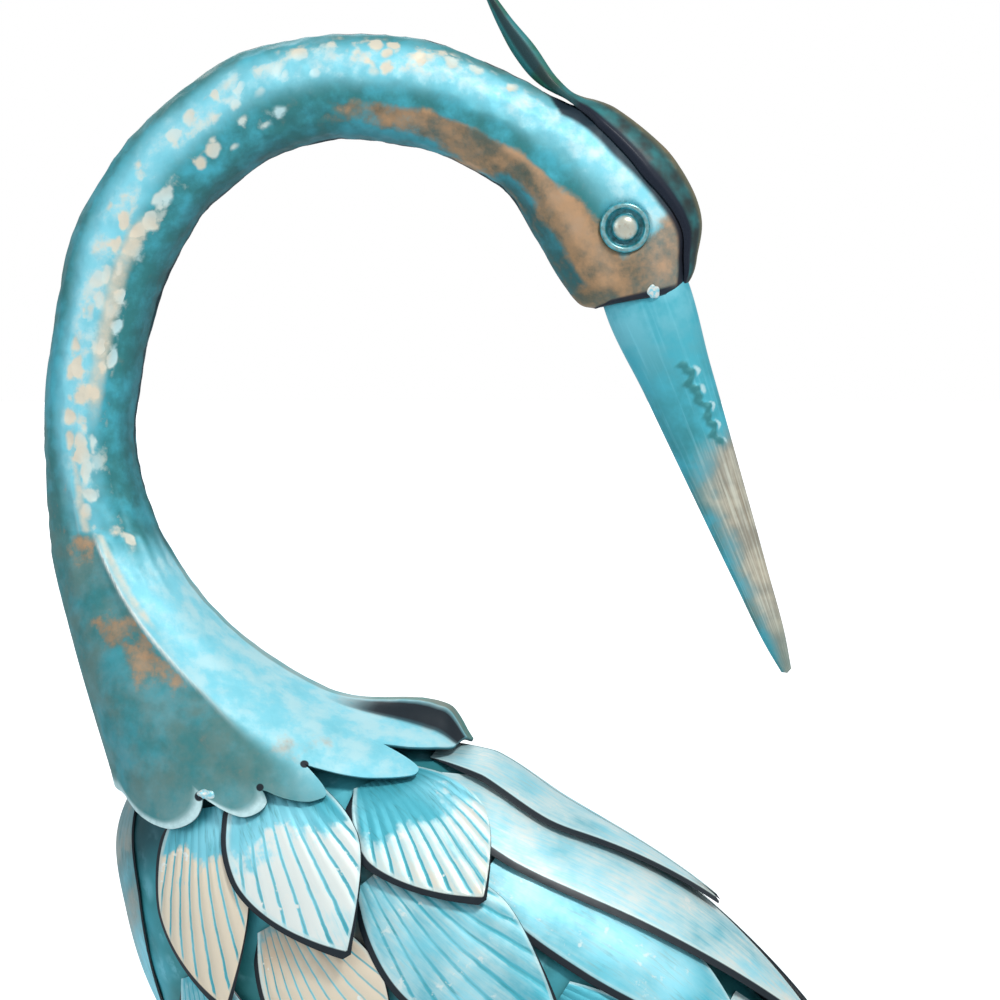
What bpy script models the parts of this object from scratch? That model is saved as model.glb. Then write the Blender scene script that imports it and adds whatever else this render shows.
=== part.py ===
"""A preening garden crane in formed, painted sheet steel, on a low oval base.

The breast faces -X, the tail +X, +Z is up and the figure's middle plane is y = 0.
The origin is the centre of the base's underside. Sizes are in millimetres and the
meshes are made in metres.
"""
import bpy
import bmesh
import numpy as np
from mathutils import Vector
from mathutils.bvhtree import BVHTree

METRE = 0.001

# Driving dimensions
BODY_LENGTH = 480.0          # breast to tail, the measure of the figure's free forms
LEG_LENGTH = 403.6           # top of the base to the middle of the hips
LEG_ROD = 9.0                # diameter of the leg rods
KNEE_ROD = 15.0              # diameter of the knees
LEG_SPACING = 78.0           # between the middles of the feet
TOE_LENGTH = 58.0
TOE_ROD = 8.0                # thickness of a toe at the hub
HUB_WIDTH = 20.0             # foot hub
HUB_HEIGHT = 16.0
BASE_LENGTH = 280.0
BASE_WIDTH = 190.0
BASE_THICKNESS = 8.0
BASE_CHAMFER = 2.0
FOOT_X = 2.0                 # the feet's middles, from the base's middle
FEATHER_SHEET = 1.0
COLLAR_SHEET = 1.5
HEAD_SHEET = 1.5             # wall around the bill's socket
SOCKET_DEPTH = 11.0
SOCKET_TAPER = 0.97          # the socket's floor as a share of its rim
BILL_LENGTH = 172.0          # from the rim of the head to the tip
BILL_SOCKET_GAP = 1.7        # the dark gap round the bill's root
BILL_ROUND = 1.5             # length of the rounded point
EYE_WIDTH = 21.0
EYE_DOME = 11.5
EYE_RAISE = 3.4              # the dome's top above the cheek
EYE_SINK = 2.2               # depth of the pocket the eye is pressed into
EYE_REACH = 6.0              # how far the pocket's cutter stands out of the cheek
TOUCH = 0.3                  # gap between pieces that touch
CHORD_GAP = 0.5              # further gap under sheets whose flat facets cut the curve below
LAP_GAP = 0.45               # gap between two feathers that lap
LEG_TOUCH = 2 * TOUCH        # gap between the ankle and its hub

# Free forms are drawn in 480ths of the body length, which are millimetres at this size
SHARE = BODY_LENGTH / 480.0
HIP_HEIGHT = BASE_THICKNESS + LEG_LENGTH

# Feathers lap like shingles: every second one of a row is raised by one lap, and all
# of them rise towards the tip, so that the tips clear the roots of the next row
LAP = FEATHER_SHEET + LAP_GAP
SHEET_GAP = TOUCH + CHORD_GAP
SHINGLE_PITCH = 36.0 * SHARE     # length in which the steepest row rises by two laps
SHINGLE_RISE = 2 * LAP / SHINGLE_PITCH
LAPS_UNDER_COLLAR = 3.6
COLLAR_CLEARANCE = SHEET_GAP + LAPS_UNDER_COLLAR * LAP
COLLAR_FLOOR = 13.0 * SHARE      # distance along the body of the last ring inside the collar
FLOOR_GAP = TOUCH + 0.3          # gap between the collar's inside and the body's end

# Body along its bent axis: x, z from the hips, half depth, half width
BODY = SHARE * np.array([
    (-118, 210, 0, 0),
    (-107, 191, 40, 34),
    (-88, 156, 68, 56),
    (-55.5, 119.5, 88, 64),
    (-11.5, 85.5, 90, 66),
    (37, 59, 85.5, 62),
    (88, 21, 73, 52),
    (134, -27, 55, 39),
    (172, -80, 35, 25),
    (204, -132, 15, 12),
    (217, -154, 0, 0),
])

# Neck and head: x, z of the outer line, x, z of the inner line, half width
NECK = SHARE * np.array([
    (-178.9, 281.4, -131.9, 281.4, 22),
    (-180.6, 302.4, -139.4, 302.4, 20.5),
    (-181.0, 325.5, -142.0, 325.5, 20),
    (-178.1, 359.1, -138.2, 352.0, 20),
    (-171.4, 396.9, -131.0, 380.1, 20),
    (-158.8, 425.5, -121.0, 401.1, 20),
    (-138.6, 451.5, -108.4, 418.7, 20),
    (-102.9, 479.2, -84.8, 436.8, 20),
    (-71.4, 487.6, -64.7, 443.9, 20),
    (-46.2, 489.3, -49.6, 445.6, 20),
    (-18.9, 486.8, -29.4, 443.1, 20),
    (2.1, 479.6, -14.7, 439.7, 19.5),
    (21.0, 471.2, 2.1, 431.8, 19),
    (37.8, 462.0, 16.8, 421.3, 19),
    (57.1, 453.6, 28.1, 403.2, 19.5),
    (79.0, 434.7, 36.5, 388.5, 19),
    (92.4, 413.7, 45.4, 376.7, 17),
    (91.6, 394.0, 52.9, 374.2, 14),
])
NECK_PLACES = np.concatenate([np.linspace(17, 13, 9), np.linspace(12, 0, 13)])

# The collar's edge from the back ridge (0 degrees) to the breast (180): angle, distance
# along the body, and the share of the flare that is left there, so 1 is a lobe's tip
COLLAR_EDGE = np.array([
    (0, 102, 0.60),
    (7, 102, 0.84),
    (17, 102, 1.00),
    (25, 101, 0.96),
    (32, 100, 0.80),
    (38, 98, 0.97),
    (47, 94, 0.92),
    (55, 86, 0.66),
    (62, 76, 0.90),
    (70, 69, 0.94),
    (76, 62, 0.80),
    (86, 57, 0.97),
    (94, 52, 0.83),
    (103, 49, 0.95),
    (113, 46, 1.00),
    (132, 36, 0.95),
    (153, 28, 0.95),
    (180, 24, 1.00),
])

CREST_CAP = np.array([      # place along the neck stations, half angle round the head, height
    (13.5, 22, 3.6),
    (14.0, 34, 5.2),
    (15.0, 42, 6.0),
    (16.0, 36, 3.6),
    (17.0, 22, 2.5),
])
CREST_PLUME = SHARE * np.array([     # under side x, z, upper side x, z, half width
    (29.8, 467.5, 37.4, 470.5, 5.0),
    (18.5, 480.1, 27.0, 485.3, 4.2),
    (12.0, 492.0, 18.0, 495.6, 3.5),
    (6.7, 504.0, 9.8, 506.0, 2.5),
])
PLUME_TIP = SHARE * np.array((3.4, 0.0, 512.4))

EYE_CENTRE = SHARE * np.array((66.4, 408.2))

# Feathers of one side, by row: the row's rise for each mm of length, then for each
# feather the distance along the body and angle at the root, the same at the tip, the
# half width, and how many laps it lies above the body. The row nearer the head and
# the feather nearer the ridge lie on top
FEATHERS = {
    "shoulder": (1.0, [
        (80, 39, 158, 57, 25, 1), (44, 69, 125, 88, 25, 1),
        (43, 100, 105, 123, 23, 0), (46, 152, 92, 164, 14, 0),
    ]),
    "back": (0.38, [
        (88, 14, 236, 3, 22, 2.8), (103, 36, 292, 12, 25, 1.5), (152, 47, 278, 44, 24, 0.6),
    ]),
    "flank": (0.8, [
        (112, 65, 210, 72, 27, 1), (97, 94, 166, 105, 25, 0), (90, 128, 146, 142, 22, 1),
    ]),
    "wing": (0.55, [
        (210, 70, 290, 73, 24, 0), (168, 84, 242, 92, 24, 0), (150, 110, 214, 115, 21, 1),
    ]),
    "thigh": (0.55, [
        (258, 88, 330, 92, 19, 0.3), (222, 104, 292, 110, 19, 1.2),
    ]),
    "flight": (0.38, [
        (242, 13, 388, 5, 16, 3.3), (262, 34, 408, 24, 16, 2.2),
        (280, 56, 424, 46, 16, 1), (298, 77, 440, 72, 15, 0),
    ]),
    "rump": (0.55, [
        (276, 118, 350, 122, 17, 0), (330, 110, 404, 108, 14, 0),
    ]),
}
SHORT_STATIONS = (0, 0.25, 0.5, 0.75, 0.92)
RIDGE_SEAM = 0.6         # angle that each side's feathers keep from the back ridge
ROOT_RAMP = 0.2          # share of its length in which a feather climbs to its lap
LONG_STATIONS = (0, 0.1, 0.22, 0.36, 0.5, 0.64, 0.78, 0.92)
LONG_FEATHER = 110       # from this length on a feather has the long stations
NARROW_FEATHER = 18      # up to this half width three points across are enough
TAIL_COUNT = 5
TAIL_START = 0.81        # share of the body's length where the tail sheets are welded on
TAIL_FAN = 0.17          # sideways step between tail sheets, for each unit of length
TAIL_LENGTH = 138.0
TAIL_HALF_WIDTH = 12.0
EYE_SIDES = 16
ROD_SIDES = 12
BASE_SIDES = 40


def hermite(knots, values, s):
    """Smooth curve through values at knots, with slopes from their neighbours."""
    s = np.clip(np.asarray(s, float), knots[0], knots[-1])
    i = np.clip(np.searchsorted(knots, s, side="right") - 1, 0, len(knots) - 2)
    step = (knots[i + 1] - knots[i])[..., None]
    u = (s - knots[i])[..., None] / step
    slope = np.gradient(values, knots, axis=0)
    return ((2 * u**3 - 3 * u**2 + 1) * values[i] + (u**3 - 2 * u**2 + u) * step * slope[i]
            + (-2 * u**3 + 3 * u**2) * values[i + 1] + (u**3 - u**2) * step * slope[i + 1])


def unit(v):
    return v / np.maximum(np.linalg.norm(v, axis=-1, keepdims=True), 1e-9)


BODY_KNOTS = np.concatenate([[0], np.cumsum(np.linalg.norm(np.diff(BODY[:, :2], axis=0), axis=1))])
BODY_SPAN = BODY_KNOTS[-1]


def body_point(s, angle):
    """Body surface at distance s and angle (degrees from the back ridge)."""
    s, angle = np.broadcast_arrays(np.asarray(s, float), np.radians(angle))
    row = hermite(BODY_KNOTS, BODY, s)
    ahead, behind = (hermite(BODY_KNOTS, BODY[:, :2], s + step) for step in (0.5, -0.5))
    along = unit(ahead - behind)
    depth, width = np.maximum(row[..., 2], 0), np.maximum(row[..., 3], 0)
    up = depth * np.cos(angle)
    x, z = row[..., 0] - up * along[..., 1], row[..., 1] + up * along[..., 0]
    return np.stack([x, width * np.sin(angle), z], -1)


def body_directions(s, angle):
    """Steps along and round the body for one unit of s and of angle, and the outward normal."""
    s, angle = np.asarray(s, float), np.asarray(angle, float)
    low, high = np.clip(s - 0.5, 0.2, BODY_SPAN), np.clip(s + 0.5, 0, BODY_SPAN - 0.2)
    along = (body_point(high, angle) - body_point(low, angle)) / (high - low)[..., None]
    around = body_point(s, angle + 0.5) - body_point(s, angle - 0.5)
    return along, around, unit(np.cross(along, around))


def over_body(s, angle, height):
    """Point at a height over the body."""
    return body_point(s, angle) + np.asarray(height)[..., None] * body_directions(s, angle)[2]


def add_object(name, mesh, colour, roughness, metallic):
    """New object whose material has its colour, roughness and metallic value."""
    title = f"{colour}_paint"
    material = bpy.data.materials.get(title) or bpy.data.materials.new(title)
    material.use_nodes = True
    shader = material.node_tree.nodes["Principled BSDF"]
    shader.inputs["Base Color"].default_value = COLOURS[colour]
    shader.inputs["Roughness"].default_value = roughness
    shader.inputs["Metallic"].default_value = metallic
    mesh.materials.append(material)
    mesh.shade_smooth()
    mesh.set_sharp_from_angle(angle=0.7)
    piece = bpy.data.objects.new(name, mesh)
    bpy.context.scene.collection.objects.link(piece)
    return piece


COLOURS = {
    "teal": (0.07, 0.30, 0.38, 1),
    "bright_teal": (0.16, 0.45, 0.53, 1),
    "bronze": (0.22, 0.16, 0.10, 1),
    "dark_steel": (0.05, 0.06, 0.07, 1),
}


def skin(name, rings, start=None, end=None):
    """Closed mesh over rings of equal length, shut by a point or by a flat cap at each end."""
    rings = np.asarray(rings)
    count, size = rings.shape[:2]
    points = [tuple(p) for p in rings.reshape(-1, 3)]
    faces = []
    for i in range(count - 1):
        for j in range(size):
            k = (j + 1) % size
            faces.append((i * size + j, i * size + k, (i + 1) * size + k, (i + 1) * size + j))
    for pole, first, flip in ((start, 0, True), (end, (count - 1) * size, False)):
        ring = [first + j for j in range(size)]
        if flip:
            ring.reverse()
        if pole is None:
            faces.append(tuple(ring))
        else:
            points.append(tuple(pole))
            faces += [(ring[j], ring[(j + 1) % size], len(points) - 1) for j in range(size)]
    return closed_mesh(name, points, faces)


def closed_mesh(name, points, faces):
    """Mesh in metres, raised to the hips, with its faces pointing out."""
    mesh = bpy.data.meshes.new(name)
    placed = METRE * (np.asarray(points, float) + (0, 0, HIP_HEIGHT))
    mesh.from_pydata([tuple(p) for p in placed], [], faces)
    form = bmesh.new()
    form.from_mesh(mesh)
    bmesh.ops.recalc_face_normals(form, faces=form.faces)
    if form.calc_volume(signed=True) < 0:
        bmesh.ops.reverse_faces(form, faces=form.faces)
    form.to_mesh(mesh)
    form.free()
    return mesh


def body_mesh(name, inflate=0.0):
    """The egg-shaped shell, or the same form inflated, as a cutter."""
    s = BODY_SPAN * np.array([0.015, 0.045, *np.linspace(0.09, 0.93, 15), 0.975])
    angle = np.linspace(0, 360, 26, endpoint=False)
    s_grid, angle_grid = np.meshgrid(s, angle, indexing="ij")
    rings = over_body(s_grid, angle_grid, np.full(s_grid.shape, inflate))
    start, end = body_point(0.0, 0.0), body_point(BODY_SPAN, 0.0)
    reach = unit(end - start) * inflate
    return skin(name, rings, start - reach, end + reach)


def neck_ring(place, angle):
    """Ring of the neck at a place along its stations, at angles from the back to the front."""
    row = hermite(np.arange(len(NECK)), NECK, np.asarray(float(place)))
    outer_x, outer_z, inner_x, inner_z, width = row
    outer, inner = np.array((outer_x, 0, outer_z)), np.array((inner_x, 0, inner_z))
    turn = np.radians(angle)[:, None]
    return ((outer + inner) / 2 - (outer - inner) / 2 * np.cos(turn)
            + np.array((0, width, 0)) * np.sin(turn))


def mirrored(half):
    """Angles of one side, from 0 to 180, carried on round the other side to just below 360."""
    return np.concatenate([half, 360 - half[-2:0:-1]])


def collar_curve(share, angle, reach, top):
    """Flare from the neck's lowest ring: a cubic that leaves along the neck and lands along the body."""
    landing = over_body(SHARE * reach, angle, np.full(len(angle), COLLAR_CLEARANCE + COLLAR_SHEET))
    back = ((1 + np.cos(np.radians(angle))) / 2)[:, None]
    side = np.sin(np.radians(angle))[:, None]
    leave = unit(back * (0.42, 0, -0.9) + (1 - back) * (0.08, 0, -0.98) + side * (0, 0.35, 0))
    leave *= np.linalg.norm(landing - top, axis=1, keepdims=True) * (1.0 + 0.45 * back)
    land = unit(body_directions(SHARE * reach, angle)[0])
    land *= np.linalg.norm(landing - top, axis=1, keepdims=True) * (0.3 + 0.15 * back)
    u = share[:, None]
    return ((2 * u**3 - 3 * u**2 + 1) * top + (u**3 - 2 * u**2 + u) * leave
            + (-2 * u**3 + 3 * u**2) * landing + (u**3 - u**2) * land)


def neck():
    """Head, neck and collar as one form: the bill's socket, head, tube, flare and its under side."""
    edge_angle, reach, left = (mirrored_columns(COLLAR_EDGE[:, i], i == 0) for i in range(3))
    even = mirrored(np.linspace(0, 180, len(COLLAR_EDGE)))
    rings = []
    rim = len(NECK) - 1
    socket = socket_rings(even, rim)
    rings += [socket[1], socket[0]]
    for place in NECK_PLACES:
        blend = max(0.0, 1 - place / 4) ** 2
        rings.append(neck_ring(place, even + 0.5 * blend * (edge_angle - even)))
    top = rings[-1]
    top_angle = even + 0.5 * (edge_angle - even)
    outer = []
    for step in np.linspace(0, 1, 7)[1:]:
        angle = top_angle + (edge_angle - top_angle) * step
        outer.append(collar_curve(step * left, angle, reach, top))
    rings += outer
    under = []
    for ring, before in zip(outer[:1:-1], outer[-2:0:-1]):
        fall = unit(np.cross(np.roll(ring, -1, 0) - np.roll(ring, 1, 0), ring - before))
        outward = np.sign(np.sum(fall * (ring - ring.mean(0)), 1))[:, None]
        under.append(ring - COLLAR_SHEET * fall * outward)
    rings += under[:4]
    rings.append(over_body(COLLAR_FLOOR, edge_angle, np.full(len(even), FLOOR_GAP)))
    pole = body_point(0.0, 0.0)
    lift = unit(body_point(0.0, 0.0) - body_point(BODY_SPAN * 0.2, 0.0)) * (0, 0, 1)
    mesh = skin("neck", rings, socket[2], pole + lift * FLOOR_GAP)
    return add_object("neck", mesh, "teal", 0.5, 0.3)


def mirrored_columns(values, is_angle):
    return np.concatenate([values, (360 - values[-2:0:-1]) if is_angle else values[-2:0:-1]])


def socket_rings(angle, rim):
    """Rim, floor and middle of the bill's socket, set in from the head's open end by its wall."""
    ring = neck_ring(rim, angle)
    middle = ring.mean(0)
    scale = 1 - HEAD_SHEET / np.linalg.norm(ring - middle, axis=1, keepdims=True)
    lip = middle + (ring - middle) * scale
    deep = middle - bill_axis() * SOCKET_DEPTH
    return lip, deep + (lip - middle) * SOCKET_TAPER, deep


def bill_axis():
    """Direction of the bill: it carries the head's last stretch on, down towards the back."""
    return unit(np.array((0.353, 0, -0.936)))


def bill():
    """Long cone, oval in section, plugged into the socket."""
    rim = neck_ring(len(NECK) - 1, np.array((0.0, 90.0, 180.0)))
    middle = (rim[0] + rim[2]) / 2
    tall = np.linalg.norm(rim[2] - rim[0]) / 2 - HEAD_SHEET - BILL_SOCKET_GAP
    broad = abs(rim[1][1]) - HEAD_SHEET - BILL_SOCKET_GAP
    across = unit(rim[2] - rim[0])
    stations = np.array([-1, 0, 0.25, 0.5, 0.75, 0.93, 1])
    height = np.array([0.93, 1.0, 0.82, 0.62, 0.41, 0.24, 0.12])
    turn = np.linspace(0, 2 * np.pi, 12, endpoint=False)[:, None]
    rings = []
    for place, share in zip(stations, height):
        along = place * (SOCKET_DEPTH - TOUCH if place < 0 else BILL_LENGTH)
        square = unit(across - bill_axis() * np.dot(across, bill_axis()))
        axis = unit(across + (square - across) * max(place, 0.0))
        rings.append(middle + bill_axis() * along + axis * tall * share * np.cos(turn)
                     + np.array((0, 1, 0)) * broad * (0.25 + 0.75 * share) * share**0.3 * np.sin(turn))
    tip = middle + bill_axis() * (BILL_LENGTH + BILL_ROUND)
    return add_object("bill", skin("bill", rings, None, tip), "teal", 0.45, 0.3)


def crest():
    """Sheet over the crown, thin at its edges, that runs out into the plume."""
    v = np.linspace(-1, 1, 6)
    back = v[-2:0:-1]
    rings = []
    for place in NECK_PLACES[NECK_PLACES >= CREST_CAP[0, 0]]:
        half_angle, height = (np.interp(place, CREST_CAP[:, 0], CREST_CAP[:, i]) for i in (1, 2))
        under = lifted_head(place, 180 + half_angle * v, np.full(len(v), SHEET_GAP))
        over = lifted_head(place, 180 + half_angle * back,
                           SHEET_GAP + FEATHER_SHEET + (height * SHARE - FEATHER_SHEET) * (1 - back**2))
        rings.append(np.concatenate([under, over]))
    for low_x, low_z, high_x, high_z, width in CREST_PLUME:
        low, high = np.array((low_x, 0, low_z)), np.array((high_x, 0, high_z))
        middle, half = (low + high) / 2, (high - low) / 2
        side = np.array((0, -width, 0))
        under = [middle - half * np.sqrt(1 - q * q) + side * q for q in v]
        over = [middle + half * np.sqrt(1 - q * q) + side * q for q in back]
        rings.append(np.array(under + over))
    return add_object("crest", skin("crest", rings, None, PLUME_TIP), "bronze", 0.5, 0.4)


def lifted_head(place, angle, height):
    """Points at a height over the head's surface."""
    ring = neck_ring(place, angle)
    along = neck_ring(min(place + 0.25, len(NECK) - 1), angle) - neck_ring(place - 0.25, angle)
    around = neck_ring(place, angle + 1) - neck_ring(place, angle - 1)
    out = unit(np.cross(around, along))
    middle = neck_ring(place, np.array((0.0, 180.0))).mean(0)
    out *= np.sign(np.sum(out * (ring - middle), 1))[:, None]
    return ring + out * np.asarray(height)[:, None]


def lathe(name, profile, centre, axis, sides):
    """Turned solid: profile is radius and height along the axis, from the back's middle to the front's."""
    axis = unit(np.asarray(axis, float))
    first = unit(np.cross(axis, (1, 0, 0.3)))
    second = np.cross(axis, first)
    turn = np.linspace(0, 2 * np.pi, sides, endpoint=False)[:, None]
    rings = [centre + axis * height + radius * (first * np.cos(turn) + second * np.sin(turn))
             for radius, height in profile[1:-1]]
    return skin(name, rings, centre + axis * profile[0][1], centre + axis * profile[-1][1])


def eye_seat(head, side):
    """Where the eye's axis meets the cheek, and the direction of that axis."""
    tree = BVHTree.FromObject(head, bpy.context.evaluated_depsgraph_get())
    start = Vector((EYE_CENTRE[0], side * 100 * SHARE, EYE_CENTRE[1] + HIP_HEIGHT)) * METRE
    hit, normal = tree.ray_cast(start, Vector((0, -side, 0)))[:2]
    return np.array(hit) / METRE - (0, 0, HIP_HEIGHT), np.array(normal)


def eye(name, head, side):
    """Pressed disc in its own shallow pocket of the cheek: rolled ring, valley and dome."""
    centre, axis = eye_seat(head, side)
    half, dome, floor = EYE_WIDTH / 2, EYE_DOME / 2, TOUCH - EYE_SINK
    wall = half + TOUCH
    pocket = lathe(f"{name}_pocket", [(0, -EYE_SINK), (wall, -EYE_SINK), (wall, EYE_REACH), (0, EYE_REACH)],
                   centre, axis, EYE_SIDES)
    cut(head, guide(f"{name}_pocket", pocket), "DIFFERENCE")
    ring = (half - dome) / 4
    profile = [(0, floor), (half, floor), (half, 0.2), (half - ring, 1.0), (half - 2 * ring, 0.6),
               (dome + 0.8 * ring, -0.5), (dome, 0.0), (dome * 0.8, EYE_RAISE * 0.6),
               (dome * 0.45, EYE_RAISE * 0.92), (0, EYE_RAISE)]
    return add_object(name, lathe(name, profile, centre, axis, EYE_SIDES), "bright_teal", 0.4, 0.3)


def guide(name, mesh):
    """Object that only shapes another one."""
    piece = bpy.data.objects.new(name, mesh)
    bpy.context.scene.collection.objects.link(piece)
    piece.hide_render = True
    piece.display_type = "WIRE"
    return piece


def cut(piece, tool, operation):
    step = piece.modifiers.new(tool.name, "BOOLEAN")
    step.operation = operation
    step.solver = "EXACT"
    step.object = tool


def leaf(a):
    """Half width of a feather along its length: narrow root, widest past the middle, rounded point."""
    widest = 0.5
    grow = 0.5 + 0.5 * np.sin(np.pi / 2 * np.clip(a / widest, 0, 1))
    close = 1 - np.clip((a - widest) / (1 - widest), 0, 1) ** 1.7
    return grow * close


def feather_mesh(name, root, tip, half_width, raised, side, rise):
    """Leaf-shaped sheet over the body that rises from its root to its tip.

    (s, angle) runs straight from root to tip, and sideways at right angles to that.
    """
    a = np.array(LONG_STATIONS if tip[0] - root[0] > LONG_FEATHER else SHORT_STATIONS)[:, None]
    b = np.linspace(-1, 1, 3 if half_width <= NARROW_FEATHER else 4)[None, :]
    start, end = np.array(root, float) * (SHARE, 1), np.array(tip, float) * (SHARE, 1)
    s, angle = (start[i] + a[:, 0] * (end[i] - start[i]) for i in (0, 1))
    along, around, normal = body_directions(s, angle)
    ahead = unit(along * (end[0] - start[0]) + around * (end[1] - start[1]))
    across = np.cross(normal, ahead)
    reach = np.stack([np.sum(across * along, 1) / np.sum(along**2, 1),
                      np.sum(across * around, 1) / np.sum(around**2, 1)])
    offset = b * leaf(a) * half_width * SHARE
    turn = reach[1][:, None] * offset
    room = angle[:, None] - RIDGE_SEAM
    past = np.maximum(-turn.min(1, keepdims=True), 1e-6)
    share = np.where(turn < 0, np.minimum(1, room / past), 1)
    s = s[:, None] + reach[0][:, None] * offset * share
    angle = angle[:, None] + turn * share
    run = end[0] - start[0]
    lift = raised * LAP * np.clip(a / ROOT_RAMP, 0, 1)
    height = SHEET_GAP + lift + rise * run * a + 0 * b
    tip_height = SHEET_GAP + raised * LAP + rise * run
    sheets = []
    for extra in (0.0, FEATHER_SHEET):
        points = over_body(s, angle, height + extra).reshape(-1, 3)
        sheets.append(np.concatenate([points, [over_body(end[0], end[1], tip_height + extra)]]))
    points = np.concatenate(sheets) * (1, side, 1)
    rows, columns = s.shape
    return closed_mesh(name, points, sheet_faces(rows, columns))


def sheet_faces(rows, columns):
    """Faces of a grid that ends in a point, with a second grid below it and a wall round both."""
    size = rows * columns + 1
    grid = [(i * columns + j, i * columns + j + 1, (i + 1) * columns + j + 1, (i + 1) * columns + j)
            for i in range(rows - 1) for j in range(columns - 1)]
    last = (rows - 1) * columns
    grid += [(last + j, last + j + 1, size - 1) for j in range(columns - 1)]
    border = list(range(columns)) + [i * columns + columns - 1 for i in range(1, rows)] + [size - 1]
    border += [i * columns for i in range(rows - 1, 0, -1)]
    walls = [(p, q, q + size, p + size) for p, q in zip(border, border[1:] + border[:1])]
    return grid + [tuple(size + v for v in reversed(face)) for face in grid] + walls


def feathers():
    for row, (steepness, places) in FEATHERS.items():
        for number, (s0, angle0, s1, angle1, half_width, raised) in enumerate(places, 1):
            for side, word in ((-1, "left"), (1, "right")):
                name = f"{row}_feather_{word}_{number}"
                mesh = feather_mesh(name, (s0, angle0), (s1, angle1), half_width, raised, side,
                                    SHINGLE_RISE * steepness)
                add_object(name, mesh, "teal", 0.5, 0.3)


def tail():
    """Long narrow sheets fanned from the end of the body, every second one a lap higher."""
    for number in range(TAIL_COUNT):
        fan = number - (TAIL_COUNT - 1) / 2
        name = f"tail_feather_{number + 1}"
        add_object(name, tail_feather(name, fan), "teal", 0.5, 0.3)


def tail_feather(name, fan):
    """Straight leaf-shaped sheet that starts on the back of the body's end."""
    order = 2 * ((TAIL_COUNT - 1) / 2 - abs(fan)) + (fan > 0)
    start = over_body(BODY_SPAN * TAIL_START, 0.0, SHEET_GAP + LAP * order)
    ahead = unit(body_directions(BODY_SPAN * TAIL_START, 0.0)[0])
    ahead = unit(ahead + np.array((0, TAIL_FAN * fan, 0)))
    normal = unit(np.cross(ahead, (0, 1, 0))) * (-1, 1, -1)
    if normal[2] < 0:
        normal = -normal
    across = np.cross(normal, ahead)
    a = np.array(SHORT_STATIONS)[:, None, None]
    b = np.linspace(-1, 1, 4)[None, :, None]
    grid = start + ahead * a * TAIL_LENGTH * SHARE + across * b * leaf(a) * TAIL_HALF_WIDTH * SHARE
    tip = start + ahead * TAIL_LENGTH * SHARE
    low = np.concatenate([grid.reshape(-1, 3), [tip]])
    sheet = np.concatenate([low, low + normal * FEATHER_SHEET])
    return closed_mesh(name, sheet, sheet_faces(*grid.shape[:2]))


def tube(name, path, radii, sides=ROD_SIDES):
    """Round rod of changing thickness along a path, with flat ends."""
    path = np.asarray(path, float)
    ahead = unit(np.gradient(path, axis=0))
    first = unit(np.cross(ahead, (0.0, 1.0, 0.02)))
    second = np.cross(ahead, first)
    turn = np.linspace(0, 2 * np.pi, sides, endpoint=False)[:, None]
    rings = [p + r * (f * np.cos(turn) + g * np.sin(turn))
             for p, r, f, g in zip(path, radii, first, second)]
    return skin(name, rings)


def leg_path(side):
    """Hip, lower end of the thigh, knee and ankle. The ankle stands on the foot's hub."""
    ankle_z = HUB_HEIGHT + LEG_TOUCH - LEG_LENGTH
    foot_y = side * LEG_SPACING / 2
    hip = np.array((6 * SHARE, side * 30 * SHARE, 14 * SHARE))
    ankle = np.array((FOOT_X, foot_y, ankle_z))
    drop = hip[2] - ankle[2]
    shin = np.array((hip[0] + 0.04 * drop, (hip[1] + foot_y) / 2, hip[2] - 0.36 * drop))
    knee = np.array((hip[0] + 0.055 * drop, foot_y, hip[2] - 0.5 * drop))
    return hip, shin, knee, ankle


def legs(body_cutter):
    """Thigh sleeves cut to the body, rods with a knee, and feet."""
    for side, word in ((-1, "left"), (1, "right")):
        hip, shin, knee, ankle = leg_path(side)
        steps = np.array([0, 0.25, 0.5, 0.75, 0.92, 1])[:, None]
        radii = SHARE * np.array([20, 19.5, 16, 11, 8.2, 7.5])
        sleeve = tube("thigh", hip + steps * (shin - hip), radii)
        thigh = add_object(f"thigh_{word}", sleeve, "teal", 0.5, 0.3)
        cut(thigh, body_cutter, "DIFFERENCE")
        down = unit(knee - shin)
        rod = LEG_ROD / 2
        knee_rod = KNEE_ROD / 2
        ease = 2.2 * KNEE_ROD
        path = [shin + down * TOUCH, knee - down * ease, knee - down * ease / 3, knee + (0.8, 0, 0),
                knee + unit(ankle - knee) * ease / 3, knee + unit(ankle - knee) * ease, ankle]
        radii = [rod, rod, knee_rod * 0.9, knee_rod, knee_rod * 0.9, rod, rod]
        add_object(f"leg_{word}", tube("leg", path, radii), "dark_steel", 0.5, 0.5)
        foot(f"foot_{word}", np.array((FOOT_X, side * LEG_SPACING / 2, -LEG_LENGTH)))


def foot(name, ground):
    """Hub with three toes towards the breast and one behind, welded into one piece."""
    hub = HUB_WIDTH / 2
    profile = [(0, TOUCH), (hub, TOUCH), (hub, HUB_HEIGHT * 0.44), (hub * 0.8, HUB_HEIGHT * 0.78),
               (LEG_ROD * 0.62, HUB_HEIGHT), (0, HUB_HEIGHT)]
    piece = add_object(name, lathe(name, profile, ground, (0, 0, 1), ROD_SIDES), "dark_steel", 0.5, 0.5)
    for number, (heading, share) in enumerate(((180, 1.0), (148, 0.92), (212, 0.92), (0, 0.6))):
        out = np.array((np.cos(np.radians(heading)), np.sin(np.radians(heading)), 0))
        reach = hub * 0.3 + np.array([0, 0.25, 0.55, 0.8, 1.0]) * TOE_LENGTH * share
        thick = TOE_ROD / 2 * np.array([1.0, 0.95, 0.8, 0.75, 0.35])
        high = TOUCH + thick * np.array([1.5, 1.25, 1.0, 1.0, 1.0]) + 0.05
        path = [ground + out * r + (0, 0, h) for r, h in zip(reach, high)]
        cut(piece, guide(f"{name}_toe_{number}", tube("toe", path, thick, 6)), "UNION")


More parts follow.
